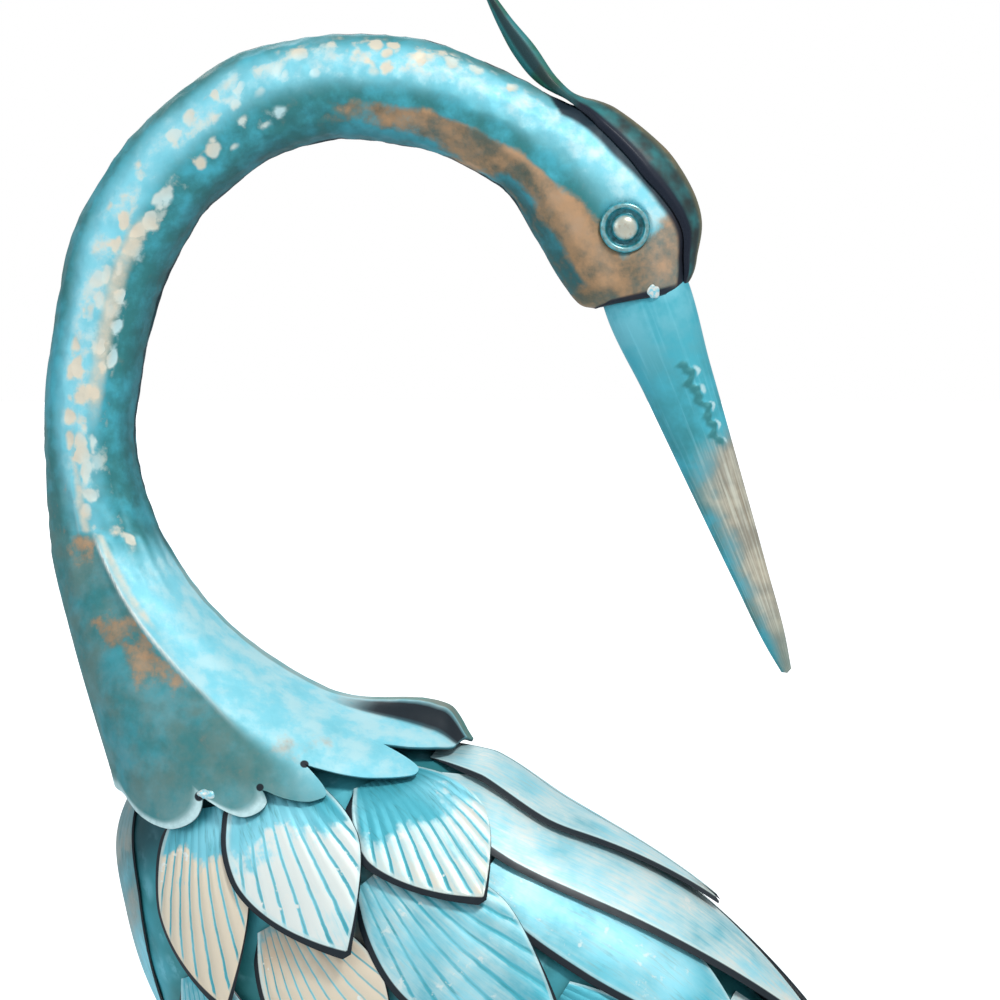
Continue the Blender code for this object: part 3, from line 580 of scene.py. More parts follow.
def buildNeck():
    # brow, tube and flare are one grid of rings, moved along its normals by dents and ridges
    around = gooseneck["around"]
    even = np.linspace(0, 360, around, endpoint=False)
    column = mirrorAngle(even)
    side = np.where(even > 180, -1.0, 1.0)[None, :, None] * np.array((0, 1, 0)) + np.array((1, 0, 1))
    bodyAngle = np.interp(column, collarReach[:, 0], collarReach[:, 1])

    # the rim of the head reaches further on the outer side and is rounded in
    rim = neckRing(np.full(around, gooseneck["rim"]), column) * side[0]
    middle = rim.mean(0)
    inward = unit(middle - rim)
    reach = gooseneck["brow"] * (1 - np.cos(np.radians(column)))
    over = np.linspace(1, 0, gooseneck["browRows"], endpoint=False)[:, None]
    brow = rim + np.array(gooseneck["browWay"]) * (reach * over)[..., None]
    brow = brow + inward * (1.7 * over**3)[..., None]

    # tube, from the head's rim down to the start of the flare
    place = np.linspace(gooseneck["rim"], 0, gooseneck["tubeRows"])[:, None]
    blend = np.clip(1 - place / 4, 0, 1) ** 2
    turn = column + 0.5 * blend * (bodyAngle - column)
    place, turn = np.broadcast_arrays(place, turn)
    tube = neckRing(place, turn) * side

    # flare, down to the lobed edge
    share = np.linspace(0, 1, gooseneck["flareRows"])[1:, None] * lobeShare(column)
    flareColumn = np.broadcast_to(column, share.shape)
    flare = flarePoint(share, flareColumn) * side

    skin = np.concatenate([brow, tube, flare])
    out = gridNormals(skin, True)
    centre = skin.mean(1, keepdims=True)
    out *= np.sign(np.sum(out * (skin - centre), -1).mean())
    steps = np.linalg.norm(np.diff(tube.mean(1), axis=0), axis=1)
    along = np.concatenate([[0], np.cumsum(steps)])[:, None] + 0 * turn
    along = np.concatenate([-reach * over, along, along[-1] + gooseneck["flareLength"] * share])
    angle = np.concatenate([column + 0 * over, turn, flareColumn])
    placeAll = np.concatenate([gooseneck["rim"] + 0.5 * over + 0 * column, place, 0 * share])
    shareAll = np.concatenate([-0.02 * placeAll[:len(over) + len(place)], share])
    blows = gooseneck["blowsRound"]
    lattice = np.broadcast_to(even / 360 * blows, angle.shape)
    dent = hammered(along / gooseneck["blow"] + 0 * lattice, lattice, blows, 8)
    calm = 1 - 0.75 * smooth(shareAll, 0.02, 0.3)
    head = smooth(placeAll, 13.5, 15)
    lift = -gooseneck["dent"] * smooth(0.6 - dent, 0, 0.55) * calm * (1 - 0.7 * head)
    lift += 0.5 * softNoise(along / 19 + 0 * angle, lattice * 0.4, 4) * calm * (1 - head)

    # the crease stands up as a ridge, sharp at its line and hollow on both sides
    away = angle - creaseColumn(np.clip(shareAll, 0, 1))
    window = smooth(shareAll, -0.03, 0.08) * smooth(0.6 - shareAll, 0, 0.36)
    ridge = np.exp(-np.abs(away) / 7.0)
    lift += gooseneck["crease"] * window * (ridge - 0.22 * np.exp(-((np.abs(away) - 20) / 12) ** 2))
    standing = smooth(shareAll, 0.5, 0.8) * smooth(1 - shareAll, 0, 0.16)
    standing = standing * (0.62 * smooth(20 - angle, 0, 12) + 0.38 * smooth(44 - angle, 0, 34))
    lift += gooseneck["ridge"] * standing
    skin = skin + out * lift[..., None]
    nearEye = np.hypot(skin[..., 0] - eyes["centre"][0], skin[..., 2] - eyes["centre"][1])
    skin = skin - out * (1.7 * smooth(eyes["half"] + 0.9 - nearEye, 0, 1.2) * (placeAll > 13))[..., None]

    # under side: the same flare set in by the wall, then a floor
    under = (skin - out * gooseneck["wall"])[:len(over) + gooseneck["tubeRows"] - 2:-3]
    wall, depth = gooseneck["wall"], gooseneck["socketDepth"]
    bead = [rim + inward * wall - billAxis() * depth]
    bead += [brow[0] + inward * wall * cut + billAxis() * push for cut, push in
             ((1.0, -0.4), (0.8, 0.1), (0.45, 0.35), (0.15, 0.25))]
    rings = np.concatenate([np.array(bead), skin, under])
    deep = middle - billAxis() * depth
    floor = under[-1].mean(0)
    points, faces = closedSkin(rings, deep, floor)

    def spread(values, bead=0.0, below=0.0):
        # carries a mask of the skin's grid on over the lip and the under side
        body = np.broadcast_to(values, skin.shape[:2])
        parts = [np.full((5, around), bead), body, np.full(under.shape[:2], below)]
        return np.concatenate([np.concatenate(parts).ravel(), [bead, below]])

    # painted highlight (sun) on the lit side of the crease and along the tube, painted shade (shade) on the
    # other side of the crease and on the tube's outer side
    onFlare = smooth(shareAll + 0.02 * softNoise(angle / 9, 0 * angle, 6), -0.07, 0.12)
    soften = 1.5 + 16 * smooth(shareAll, 0.3, 0.8)
    lightSide = smooth(-away, -soften, soften)
    sun = onFlare * (lightSide + (1 - lightSide) * smooth(shareAll, 0.62, 0.86) * 0.55)
    bandLine = 91 + 2.6 * np.clip(placeAll, 0, 12)
    sun = np.maximum(sun, (1 - onFlare) * np.exp(-((angle - bandLine - 4) / 34) ** 2))
    shade = onFlare * (1 - lightSide) + (1 - onFlare) * smooth(angle, 138, 172)
    # painted shade: darker on the tube's inner side, and under the jaw as the chin
    dark = (1 - onFlare) * (1 - head) * smooth(52 - angle, 0, 34) * smooth(13 - placeAll, 0, 3)
    chin = smooth(placeAll, 11.5, 13.5) * smooth(64 - angle, 0, 36) * smooth(16.6 - placeAll, 0, 1)
    dark = np.maximum(dark, 1.3 * chin)
    lower = smooth(84 + 3 * np.clip(placeAll - 12, 0, 9) - angle, 0, 20)
    copper = (1 - 0.8 * np.clip(dark, 0, 1)) * smooth(placeAll, 7.5, 11) * lower
    copper = np.maximum(copper, smooth(placeAll, 15.3, 16.3) * smooth(166 - angle, 0, 16))
    # painted highlight on the cheek's bronze
    glow = smooth(placeAll, 9.5, 11.5) * smooth(16.8 - placeAll, 0, 0.8)
    glow = glow * np.exp(-((angle - 76 + 4 * (placeAll - 13.5)) / 15) ** 2)
    rust = window * smooth(away, 0, 4) * smooth(60 - away, 0, 26) * smooth(shareAll, 0.1, 0.3)
    rust += 0.55 * np.exp(-((shareAll - 0.04) / 0.07) ** 2 - ((angle - 124) / 32) ** 2)
    # where the cream dabs and their painted highlights lie: bands along the tube
    arch = smooth(placeAll, 6.5, 8.5)
    brush = np.maximum(np.exp(-((angle - 69) / 13) ** 2) * (1 - arch),
                       np.exp(-((angle - bandLine - 16 * arch) / (16 + 12 * arch)) ** 2))
    brush = brush * (1 - head) * (1 - onFlare) * (1 - 0.55 * smooth(placeAll, 9, 11.5))
    band = (1 - onFlare) * np.exp(-((angle - 76) / 13) ** 2)
    band = band * smooth(placeAll, 1.4, 2.6) * smooth(5.6 - placeAll, 0, 1)
    streaks = np.exp(-((away + 8) / 7) ** 2) * smooth(0.36 - shareAll, 0, 0.2)
    band = np.maximum(band, streaks * smooth(shareAll, -0.08, 0.0) * 0.9)
    # the navy band along the crest's edge and round the head's rim is dark paint and painted shade
    crestLine = np.interp(placeAll, [12.6, 13.2, 14.5, 15.5, 16.5, 17], [176, 143, 134, 136, 143, 146])
    toRim = np.where(placeAll > 17, reach * (1 - (placeAll - 17) * 2), reach + (17 - placeAll) * 20)
    onCrest = smooth(angle - crestLine, -5, 1.5) * smooth(placeAll, 12.5, 13)
    crestAndRimShade = np.maximum(onCrest, smooth(3.0 - toRim, 0, 1.2))
    rimLight = smooth(shareAll - 0.92 * lobeShare(angle), 0, 0.05) * smooth(angle, 98, 106)
    # dark paint along the tube's outer and inner lines, also painted shade along its edges
    seamShade = smooth(angle, 168, 176) * (1 - 0.6 * onFlare) + smooth(9 - angle, 0, 7) * (1 - onFlare)
    back = smooth(shareAll, 0.5, 0.66)
    # painted shade in the slot beside the raised back ridge
    slotShade = back * smooth(angle, 8.5, 11) * smooth(20.5 - angle, 0, 2.5)
    moss = np.maximum(back, onFlare * 0.6) * smooth(10 - angle, 0, 3)
    # middles of the drilled holes, for their painted shade
    drilled = []
    for at, depth, radius in slitHoles:
        spot = flarePoint(np.array([depth]), np.array([float(at)]))[0]
        drilled.append((tuple((spot + (0, 0, figure["hipHeight"])) * 0.001), radius))
    masks = {
        "sun": sun, "shade": shade, "dark": dark, "copper": copper, "rust": rust, "glow": glow, "arch": arch,
        "brush": brush, "band": band, "crest": crestAndRimShade, "ridge": window * np.exp(-(away / 1.6) ** 2),
        "rimLight": rimLight, "seamShade": seamShade, "slotShade": slotShade, "moss": moss,
    }
    masks = {key: spread(np.clip(value, 0, 1)) for key, value in masks.items()}
    # painted shade on the lip round the bill and on the inside
    masks["inside"] = spread(0 * angle, 1, 1)
    masks["calm"] = spread(np.maximum(head, smooth(shareAll, 0.0, 0.2)), 1, 1)
    putPiece("neckAndHead", points, faces, ["neck"], paintNeck(drilled), masks, angle=50)

    silver = paintBlob()
    for spot, (at, depth, size) in weldBlobs.items():
        for word in ("left", "right"):
            near = np.abs(even - (360 - at if word == "left" else at)).argmin()
            row = 2 if depth < 0 else np.abs(shareAll[:, near] - depth).argmin()
            buildBlob(f"{spot}Weld_{word}", skin[row, near], out[row, near], size, silver)


buildNeck()
print("neck done")


# Feathers: leaf-shaped stamped sheets. By row: rise for each length, then for each feather the
# distance along the body and angle at its root and tip, half width, laps and the name of its finish

feathers = {
    "shoulder": (1.0, [
        (80, 39, 158, 57, 25, 1, "pale"), (44, 69, 125, 88, 25, 1, "white"),
        (43, 100, 105, 123, 23, 0, "creamTip"), (22, 150, 92, 164, 14, 0, "plain"),
    ]),
    "back": (0.38, [
        (88, 14, 236, 3, 22, 2.8, "long"), (103, 36, 292, 12, 25, 1.5, "longCream"),
        (152, 47, 278, 44, 24, 0.6, "longBlue"),
    ]),
    "flank": (0.8, [
        (112, 65, 210, 72, 27, 1, "blue"), (97, 94, 166, 105, 25, 0, "bronze"),
        (90, 128, 146, 142, 22, 1, "blue"),
    ]),
    "wing": (0.55, [
        (210, 70, 290, 73, 24, 0, "pale"), (168, 84, 242, 92, 24, 0, "blue"),
        (150, 110, 214, 115, 21, 1, "creamTip"),
    ]),
    "thigh": (0.55, [(258, 88, 330, 92, 19, 0.3, "blue"), (222, 104, 292, 110, 19, 1.2, "bronze")]),
    "flight": (0.38, [
        (242, 13, 388, 5, 16, 3.3, "longBlue"), (262, 34, 408, 24, 16, 2.2, "long"),
        (280, 56, 424, 46, 16, 1, "longCream"), (298, 77, 440, 72, 15, 0, "longBlue"),
    ]),
    "rump": (0.55, [(276, 118, 350, 122, 17, 0, "pale"), (330, 110, 404, 108, 14, 0, "blue")]),
}
# Finishes: white paint, cream paint, bronze, depth of the grooves, where the brushing starts
finishes = {
    "white": (1.0, 0.15, 0.0, 1.0, 0.36),
    "pale": (0.75, 0.4, 0.0, 1.0, 0.38),
    "creamTip": (0.5, 1.4, 0.1, 1.0, 0.26),
    "plain": (0.1, 0.1, 1.15, 0.3, 0.2),
    "blue": (0.5, 0.2, 0.0, 0.6, 0.0),
    "bronze": (0.7, 1.1, 0.7, 0.6, 0.0),
    "long": (0.6, 0.2, 0.0, 0.0, -0.3),
    "longCream": (0.62, 0.3, 0.1, 0.0, -0.3),
    "longBlue": (0.42, 0.2, 0.05, 0.0, -0.1),
}
leafGrid = {
    "along": 64,
    "across": 39,
    "longAlong": 90,
    "groove": 0.5,         # depth of the stamped grooves
    "spread": 4.3,         # degrees from one groove to the next
    "grooveRoot": 0.42,    # how far behind the root the grooves meet, as a share of the length
    "curl": 1.6,           # further lift of the tip
    "fullSide": 1.14,      # the side away from the ridge is wider than the other
    "slimSide": 0.86,
    "longSide": 0.72,      # on the long feathers both are slimmer
    "bevel": 3.0,
}


def leafWidth(a):
    # narrow root, widest at the middle, rounded point
    grow = 0.5 + 0.5 * np.sin(np.pi / 2 * np.clip(a / 0.5, 0, 1))
    return grow * (1 - np.clip((a - 0.5) / 0.5, 0, 1) ** 1.7)


def leafShell(top, bottom):
    # two grids over each other, joined by a wall round their border
    rows, columns = top.shape[:2]
    points = np.concatenate([top.reshape(-1, 3), bottom.reshape(-1, 3)])
    size = rows * columns
    upper = np.array(gridFaces(rows, columns, False))
    first, last = np.arange(columns), (rows - 1) * columns + np.arange(columns)
    left, right = np.arange(rows) * columns, np.arange(rows) * columns + columns - 1
    border = np.concatenate([first[:-1], right[:-1], last[:0:-1], left[:0:-1]])
    after = np.roll(border, -1)
    wall = np.stack([after, border, border + size, after + size], -1)
    return points, np.concatenate([upper, upper[:, ::-1] + size, wall]).tolist()


def leafMasks(shape, look, along, fan, gap):
    # one value for each point of the upper and the lower grid; gap is the distance to the border
    brushing = zip(("white", "cream", "bronze", "depth", "start"), finishes[look])
    values = {"along": along, "fan": fan, "brow": smooth(1.7 - gap, 0, 1.0), **dict(brushing)}
    masks = {key: np.tile(np.broadcast_to(value, shape).ravel(), 2) for key, value in values.items()}
    # the lower grid and the bevel take the painted shade
    masks["under"] = np.repeat((0.0, 1.0), shape[0] * shape[1])
    return masks


def leafPlaces(offset, run, shift, lift):
    # where the streaks of the paint are read, the same for both grids
    across, along = offset * 0.02 + shift, np.broadcast_to(run * 0.02 + lift, offset.shape)
    return np.tile(np.stack([across, along], -1).reshape(-1, 2), (2, 1))


def paintFeather():
    # teal to cyan, brushed white or cream over the crowns between the grooves, ink on the under side and the
    # bevel as painted shade beneath each edge
    graph = Graph("featherPaint")
    where = graph.place()
    leaf = graph.add("ShaderNodeUVMap", {"uv_map": "leaf"})
    along, fan, brow = graph.read("along"), graph.read("fan"), graph.read("brow")
    white, cream, bronze, depth = (graph.read(name) for name in ("white", "cream", "bronze", "depth"))
    patch = graph.noise(where, 60.0, 4.0)
    drift = graph.noise(where, 21.0, 2.0)
    streak = graph.noise(graph.stretch(leaf, (34, 3.2, 1)), 1.0, 4.0, 0.6)
    fine = graph.noise(where, 300.0, 3.0)
    wave = graph.add("ShaderNodeMath", {"operation": "SINE"}, {0: (fan + (patch - 0.5) * 0.35) * math.pi})
    crown = graph.add("ShaderNodeMath", {"operation": "ABSOLUTE"}, {0: wave})
    started = (along + (patch - 0.5) * 0.55 - graph.read("start")).between(-0.12, 0.12)
    graph.colour = graph.mix(drift.between(0.38, 0.62), "teal", "cyan")
    graph.brush(streak.between(0.5, 0.72) * 0.5, "deepTeal")
    raised = 1 - depth * (1 - crown.between(0.12, 0.5))
    brushed = raised * started * (patch * 0.9 + streak * 0.7)
    pale = (brushed * white * 1.35).between(0.3, 0.85)
    graph.brush(pale * 0.9, "paleCyan")
    graph.brush((brushed * white * (0.6 + drift * 1.2)).between(0.5, 0.95) * 0.9, "white")
    graph.brush((brushed * cream * (0.7 + along)).between(0.3, 0.75) * 0.95, "cream")
    worn = graph.mix(patch.between(0.4, 0.62), "umber", "copper")
    graph.brush((bronze * (patch + drift) * (1.2 - along)).between(0.5, 0.95) * 0.6, worn)
    tip = along.between(0.86, 1.0) * (1 - depth) * (patch * 0.8 + streak * 0.5)
    graph.brush(tip.between(0.3, 0.7) * 0.7, worn)
    groove = depth * (1 - crown.between(0.02, 0.3)) * started
    graph.brush(groove * (0.2 + fine * 0.4), "deepTeal")
    flecks = (fine * 0.5 + patch * 0.7).between(0.7, 0.78) * started * (white + cream) * 0.9
    graph.brush(flecks, "white")
    rim = brow * (white + cream).between(0.2, 1.0) * (0.4 + fine)
    graph.brush(rim * 0.8, graph.mix(cream * along, "paleCyan", "cream"))
    # painted shade: ink on the under side and the bevel, the shadow under each edge
    graph.brush(graph.read("under").between(0.04, 0.22), "ink")
    height = crown * depth + fine * 0.12
    return graph.finish(0.4 + fine * 0.25, 0.25, height, 0.35, 0.0008, 0.2)


def buildFeather(name, spec, steepness, side, material, seed):
    # a runs from root to tip and b across, as far as leafWidth times the half width; the sheet
    # stands off the body by a rise that grows with a, and its grooves follow the sine of fan
    s0, angle0, s1, angle1, halfWidth, laps, look = spec
    depth = finishes[look][3]
    rows = leafGrid["longAlong"] if s1 - s0 > 110 else leafGrid["along"]
    a = (1 - (1 - np.linspace(0, 1, rows)) ** 1.25)[:, None]
    a[-1] = 0.9985
    b = np.sin(np.linspace(-1, 1, leafGrid["across"]) * math.pi / 2)[None, :] * 0.5
    b = b + np.linspace(-0.5, 0.5, leafGrid["across"])[None, :]
    s, angle = s0 + a * (s1 - s0), angle0 + a * (angle1 - angle0)
    along, around, normal = bodySteps(s[:, 0], angle[:, 0])
    ahead = unit(along * (s1 - s0) + around * (angle1 - angle0))
    across = np.cross(normal, ahead)
    reach = [np.sum(across * step, 1) / np.sum(step**2, 1) for step in (along, around)]
    toRidge = np.sign(reach[1].mean()) * b < 0
    wide = (leafGrid["longSide"], 1.0) if depth == 0 else (leafGrid["fullSide"], leafGrid["slimSide"])
    offset = b * leafWidth(a) * halfWidth * np.where(toRidge, wide[1], wide[0])
    turn = reach[1][:, None] * offset
    past = np.maximum(-turn.min(1, keepdims=True), 1e-6)
    share = np.where(turn < 0, np.minimum(1, (angle - 0.6) / past), 1)
    s = s + reach[0][:, None] * offset * share
    angle = angle + turn * share
    length = s1 - s0
    lift = laps * figure["lap"] * np.clip(a / 0.2, 0, 1)
    rise = 2 * figure["lap"] / figure["shinglePitch"] * steepness * length
    breast = smooth(angle0, 135, 150)
    rise *= 1 - 0.9 * breast
    base = figure["sheetGap"] * (1 - 0.6 * breast) + lift + rise * a + leafGrid["curl"] * (1 - breast) * a**4
    run = a * np.linalg.norm(bodyPoint(s1, angle1) - bodyPoint(s0, angle0))
    fan = np.degrees(np.arctan2(offset, run + run.max() * leafGrid["grooveRoot"])) / leafGrid["spread"] + 0.5
    crown = np.abs(np.sin(np.pi * fan))
    rim = smooth(1 - np.abs(b), 0.0, 0.12) * smooth(1 - a, 0, 0.06)
    stamped = leafGrid["groove"] * depth * (crown - 0.6) * rim * smooth(a, 0.1, 0.3)
    bend = 0.35 * softNoise(b * 1.3 + seed, a * 2.2 + 0 * b, seed)
    height = base + stamped + bend
    flip = np.array((1, side, 1))

    # the cut edge on the lower side is a wide dark bevel, painted shade under the edge, so the under side
    # reaches further out
    outward = leafGrid["bevel"] * np.where(toRidge, 0.15, 1.0) * np.sign(b) * smooth(np.abs(b), 0.5, 1)
    outward = outward * smooth(a, 0.0, 0.15)
    further = a**6 * leafGrid["bevel"] * 0.8 / length
    lowS = s + reach[0][:, None] * outward * share + further * length
    lowAngle = angle + reach[1][:, None] * outward * share + further * (angle1 - angle0)
    top = overBody(s, angle, height + figure["sheet"]) * flip
    bottom = overBody(lowS, np.maximum(lowAngle, 0.6), height) * flip
    points, faces = leafShell(top, bottom)
    gap = np.minimum((1 - np.abs(b)) * leafWidth(a) * halfWidth, (1 - a) * run.max() * 0.9)
    masks = leafMasks(offset.shape, look, a, fan, gap)
    uv = leafPlaces(offset, run, seed * 1.7, seed)
    putPiece(f"{name}_sheet", points, faces, [name], material, masks, uv, 35)


def buildFeathers():
    # every row on both sides, the left one mirrored
    material = paintFeather()
    for row, (steepness, places) in feathers.items():
        for number, spec in enumerate(places, 1):
            for side, word in ((-1, "left"), (1, "right")):
                name = f"{row}_feather_{word}_{number}"
                buildFeather(name, spec, steepness, side, material, number + len(row) * 3)


buildFeathers()
print("feathers done")


# Crest and plume: place along the neck, half angle round the head, height; then the plume's
# under side x, z, upper side x, z and half width

crest = {
    "cap": np.array([(13.5, 22, 3.6), (14.0, 34, 5.2), (15.0, 42, 6.0), (16.0, 36, 3.6), (17.0, 27, 2.6),
                     (17.3, 22, 1.6), (17.5, 14, 0.2)]),
    "plume": np.array([
        (29.8, 467.5, 37.4, 470.5, 5.0), (18.5, 480.1, 27.0, 485.3, 4.2),
        (12.0, 492.0, 18.0, 495.6, 3.5), (6.7, 504.0, 9.8, 506.0, 2.5),
    ]),
    "tip": np.array((3.4, 0.0, 512.4)),
    "across": 41,
    "along": 190,
    "bead": 0.7,            # rolled rim of the cap
    "edge": 0.6,            # thickness of the cap's edge
}


def liftedHead(place, angle, height):
    # the neck's ring, drawn past the rim along the brow and moved out along its normal by height
    beyond = np.maximum(place - gooseneck["rim"], 0)[..., None] * 4 * gooseneck["brow"]
    place = np.minimum(place, gooseneck["rim"])
    ring = neckRing(place, angle) + np.array(gooseneck["browWay"]) * beyond
    along = neckRing(np.minimum(place + 0.2, 17), angle) - neckRing(place - 0.2, angle)
    out = unit(np.cross(neckRing(place, angle + 1) - neckRing(place, angle - 1), along))
    middle = (neckRing(place, 0 * angle) + neckRing(place, 0 * angle + 180)) / 2
    out = out * np.sign(np.sum(out * (ring - beyond * gooseneck["browWay"] - middle), -1))[..., None]
    return ring + out * (height - 0.02 * beyond[..., 0] ** 2)[..., None]


def paintCrest():
    # dark crown, olive and copper towards its middle, navy rim of dark paint and painted shade, green plume
    # with an inked spine
    graph = Graph("crestPaint")
    where = graph.place()
    fine = graph.noise(where, 240.0, 4.0, 0.65)
    drift = graph.noise(where, 60.0)
    rim, plume = graph.read("rim"), graph.read("plume")
    graph.colour = graph.mix(drift.between(0.35, 0.65), "charcoal", "deepTeal")
    graph.brush(graph.read("crown") * (0.5 + drift), "olive")
    graph.brush((fine * drift).between(0.24, 0.4) * graph.read("crown") * 0.5, "copper")
    # navy: dark paint and painted shade under the cap's edge
    graph.brush(rim, "navy")
    feathered = graph.mix(drift.between(0.4, 0.6), "green", "deepTeal")
    graph.brush(plume, feathered)
    graph.brush(graph.read("spine") * 0.85, "ink")
    return graph.finish(0.5 + fine * 0.25, 0.25, fine, 0.25, 0.0006, 0.1)


def buildCrest():
    # sections over the crown and then of the plume, with a cubic through them lengthways
    v = np.linspace(-1, 1, crest["across"])
    back = v[-2:0:-1]
    rings, shown = [], []
    for place in np.linspace(17.5, 13.5, 26):
        wide, high = (np.interp(place, crest["cap"][:, 0], crest["cap"][:, n]) for n in (1, 2))
        rim = crest["bead"] * np.exp(-((np.abs(back) - 0.9) / 0.07) ** 2) * (place < 17.2)
        under = liftedHead(place + 0 * v, 180 + wide * v, 0 * v + figure["sheetGap"])
        top = figure["sheetGap"] + crest["edge"] + (high - crest["edge"]) * (1 - back**2) ** 0.8 + rim
        over = liftedHead(place + 0 * back, 180 + wide * back, top)
        rings.append(np.concatenate([under, over]))
        shown.append(0.0)
    for lowX, lowZ, highX, highZ, width in crest["plume"]:
        low, high = np.array((lowX, 0, lowZ)), np.array((highX, 0, highZ))
        middle, half, side = (low + high) / 2, (high - low) / 2, np.array((0, -width, 0))
        under = middle - half * np.sqrt(1 - v**2)[:, None] + side * v[:, None]
        dip = np.sqrt(1 - back**2) * (1 - 0.35 * np.exp(-(back / 0.25) ** 2))
        over = middle + half * dip[:, None] + side * back[:, None]
        rings.append(np.concatenate([under, over]))
        shown.append(1.0)
    rings.append(np.repeat(crest["tip"][None, :], len(rings[0]), 0) * 0.97 + rings[-1] * 0.03)
    shown.append(1.0)
    rings = np.array(rings)
    knots = np.concatenate([[0], np.cumsum(np.linalg.norm(np.diff(rings.mean(1), axis=0), axis=1))])
    steps = np.linspace(0, knots[-1], crest["along"])
    flat = hermite(knots, rings.reshape(len(rings), -1), steps).reshape(len(steps), -1, 3)
    points, faces = closedSkin(flat, flat[0].mean(0), crest["tip"])
    feather = np.interp(steps, knots, shown)[:, None]
    width = np.concatenate([np.abs(v), np.abs(back)])[None, :]
    # navy rim of the cap: dark paint and painted shade under its edge
    rim = smooth(width, 0.7, 0.82) * (1 - feather)
    spine = feather * np.maximum(np.exp(-(width / 0.16) ** 2), smooth(width, 0.8, 0.95))
    masks = {
        "crown": np.append(smooth(0.45 - width, 0, 0.3) + 0 * feather, [0, 0]),
        "rim": np.append(rim, [1, 0]), "plume": np.append(feather + 0 * width, [0, 1]),
        "spine": np.append(spine, [0, 1]),
    }
    putPiece("crestSheet", points, faces, ["crest"], paintCrest(), masks, angle=55)


# Bill: an oval cone, its stations as shares of the length

bill = {
    "length": 172.0,
    "socketGap": 1.7,
    "stations": np.array([-0.06, 0, 0.25, 0.5, 0.75, 0.93, 1.0]),
    "height": np.array([0.93, 1.0, 0.82, 0.62, 0.41, 0.24, 0.12]),
    "around": 112,
    "along": 190,
    "weldFrom": 0.22,        # a wavy weld bead along the side, as shares of the length
    "weldTo": 0.45,
    "weldHeight": 0.9,
}


def paintBill():
    # teal, worn to tan from a third of its length on, darker at the tip
    graph = Graph("billPaint")
    where = graph.place()
    fine = graph.noise(where, 300.0, 4.0, 0.6)
    patch = graph.noise(where, 60.0, 4.0)
    leaf = graph.add("ShaderNodeUVMap", {"uv_map": "leaf"})
    long = graph.noise(graph.stretch(leaf, (26, 2.2, 1)), 1.0, 4.0)
    along, angle = graph.read("along"), graph.read("side")
    graph.colour = graph.mix(patch.between(0.36, 0.64) * (0.25 + along), "teal", "deepTeal")
    graph.brush(along.between(0.3, 0.02) * patch.between(0.35, 0.6) * 0.55, "cyan")
    graph.brush(long.between(0.5, 0.75) * 0.25, "cyan")
    worn = (along.between(0.3, 0.52) * (0.3 + patch * 0.9 + long * 0.3) * (0.35 + angle)).between(0.3, 0.85)
    tan = graph.mix((patch * 0.6 + long * 0.5).between(0.42, 0.66), "copper", "cream")
    graph.brush(worn * 0.72, tan)
    graph.brush(along.between(0.8, 1.0) * 0.45, "deepTeal")
    graph.brush(graph.read("weld").between(0.1, 0.8) * 0.85, "deepTeal")
    graph.brush(graph.read("gleam").between(0.3, 0.9) * (0.3 + fine), "paleCyan")
    graph.brush(graph.read("shadow"), "ink")
    return graph.finish(0.44 + fine * 0.25, 0.25, fine, 0.18, 0.0005, 0.15)


